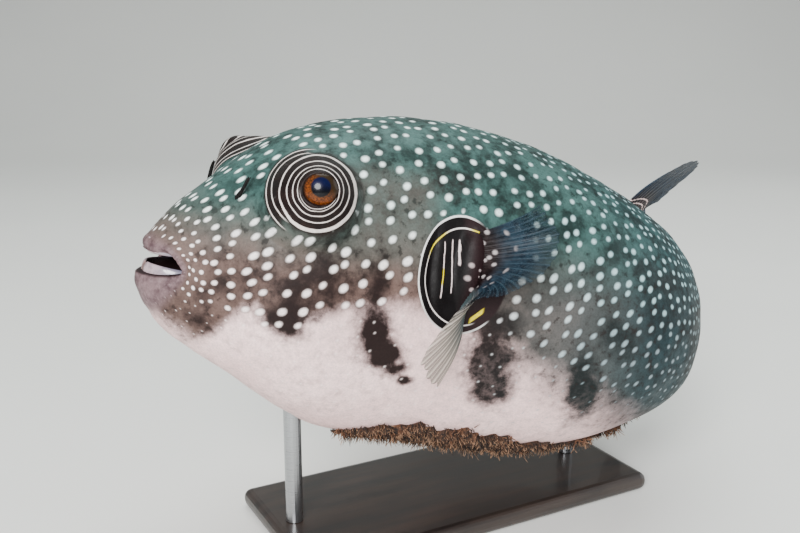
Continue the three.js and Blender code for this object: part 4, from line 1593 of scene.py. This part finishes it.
def tufts_mesh(name):
    """All the strands as one mesh. Each tuft has a small patch of the map at its root's place."""
    rng = np.random.default_rng(12)
    x, y, grown, patches = tuft_roots(rng)
    count = len(x)
    root = smooth_skin(x, belly_turn(x, y), TUFT_ROOT)
    out = unit(smooth_skin(x, belly_turn(x, y), 3.0) - root)
    out = unit(out + rng.normal(0, TUFT_LEAN, (count, 3)))
    side = unit(np.cross(out, rng.normal(0, 1, (count, 3))))
    other = np.cross(out, side)
    length = STRAND_LENGTH * np.maximum(grown, SHORTEST)
    curl = rng.uniform(-0.5, 0.5, count) * length
    reach = strand_corners[:, 2]
    aside = strand_corners[:, 0] + reach**2 * curl[:, None]
    local = aside[..., None] * side[:, None] + strand_corners[:, 1, None] * other[:, None]
    local = local + (reach * length[:, None])[..., None] * out[:, None]
    places = stand_frame(local + root[:, None]).reshape(-1, 3)
    faces = strand_faces + np.arange(count)[:, None, None] * len(strand_corners)
    faces = faces.reshape(-1, 3)
    mesh = bpy.data.meshes.new(name)
    mesh.from_pydata(places.tolist(), [], faces.tolist())
    on_patch = strand_corners[:, :2] / STRAND_RADIUS * PATCH / 2
    on_map = (patches[:, None] + on_patch).reshape(-1, 2)
    layer = mesh.uv_layers.new(name="OFBake")
    layer.data.foreach_set("uv", on_map[faces.ravel()].astype(np.float32).ravel())
    tone = np.repeat(rng.uniform(0, 1, count), len(strand_corners))
    keep_on_points(mesh, "strand", np.stack([np.tile(reach, count), tone, 0 * tone], -1))
    print(name, "faces", len(mesh.polygons))
    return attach(placed(name, mesh), "root")


# %% Weed
WEED = tones(
    dark=(12, 6, 4), brown=(56, 33, 21), patch=(104, 68, 46), tip=(158, 122, 94),
)

tufts = tufts_mesh("belly_tufts")
tree = new_material("weed_strands")
reach, tone, _ = split(tree, attribute(tree, "strand", "Vector"))
patch = ramp(tree, noise(tree, object_place(tree), 75, 3), 0.38, 0.62, 0, 0.7)
weed = blend(tree, tone, WEED["dark"], WEED["brown"])
weed = blend(tree, patch, weed, WEED["patch"])
# Painted highlight: each strand pales towards its tip, where it catches the light.
weed = blend(tree, ramp(tree, reach, 0.45, 1.0, 0, 0.8), weed, WEED["tip"])
weed = blend(tree, ramp(tree, tone, 0.5, 0.7, 0, 0.92), weed, WEED["dark"])
tufts.data.materials.append(
    finish_material("weed_strands", weed, ramp(tree, reach, 0, 1, 0.95, 0.8))
)

# %% [markdown]
# ## Stand
# The stand is a flat block of stained wood and two steel rods. Their plain shapes are already
# right in the model, so nothing is built over them: they only get a finish. Grain and brush
# marks are the same cloudy noise, drawn out along the wood and squeezed along the rods.

# %% Stand
STAND = tones(
    wood=(24, 20, 19), wood_pale=(48, 38, 33), steel=(150, 152, 156), steel_bright=(186, 188, 190),
)
GRAIN_SQUEEZE = (1.0, 9.0, 9.0)
BRUSH_SQUEEZE = (1.0, 1.0, 30.0)

tree = new_material("stained_wood")
grain_place = squeezed(tree, object_place(tree), GRAIN_SQUEEZE)
wood, grain = mottled(
    tree, grain_place, 14, 6, (0.3, 0.7), STAND["wood"], STAND["wood_pale"], 0.6
)
stained_wood = finish_material(
    "stained_wood", wood, ramp(tree, grain, 0, 1, 0.35, 0.5), grain, 0.15, 0.0005,
    coat_weight=0.3,
)
tree = new_material("brushed_steel")
brush = noise(tree, squeezed(tree, object_place(tree), BRUSH_SQUEEZE), 60, 4, 0.6)
steel = blend(tree, brush, STAND["steel"], STAND["steel_bright"])
brushed_steel = finish_material(
    "brushed_steel", steel, ramp(tree, brush, 0, 1, 0.22, 0.38), brush, 0.1, 0.0002,
    metallic=1.0,
)
for node, finish in (
    ("stand_base", stained_wood),
    ("stand_rod_front", brushed_steel),
    ("stand_rod_rear", brushed_steel),
):
    for material_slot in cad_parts[node].material_slots:
        material_slot.material = finish

# %% [markdown]
# ## Sizes
# Both boxes, the plain model's and the dressed one's, are kept under sizes, and the dressed box
# is printed. The dressed fish has to stay inside the plain model's box.

# %% Sizes and the end
low_corner, high_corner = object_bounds()
sizes = {
    "cad": [list(cad_low), list(cad_high)],
    "visual": [list(low_corner), list(high_corner)],
}
print("visual box:", [round(v, 4) for v in (*low_corner, *high_corner)])
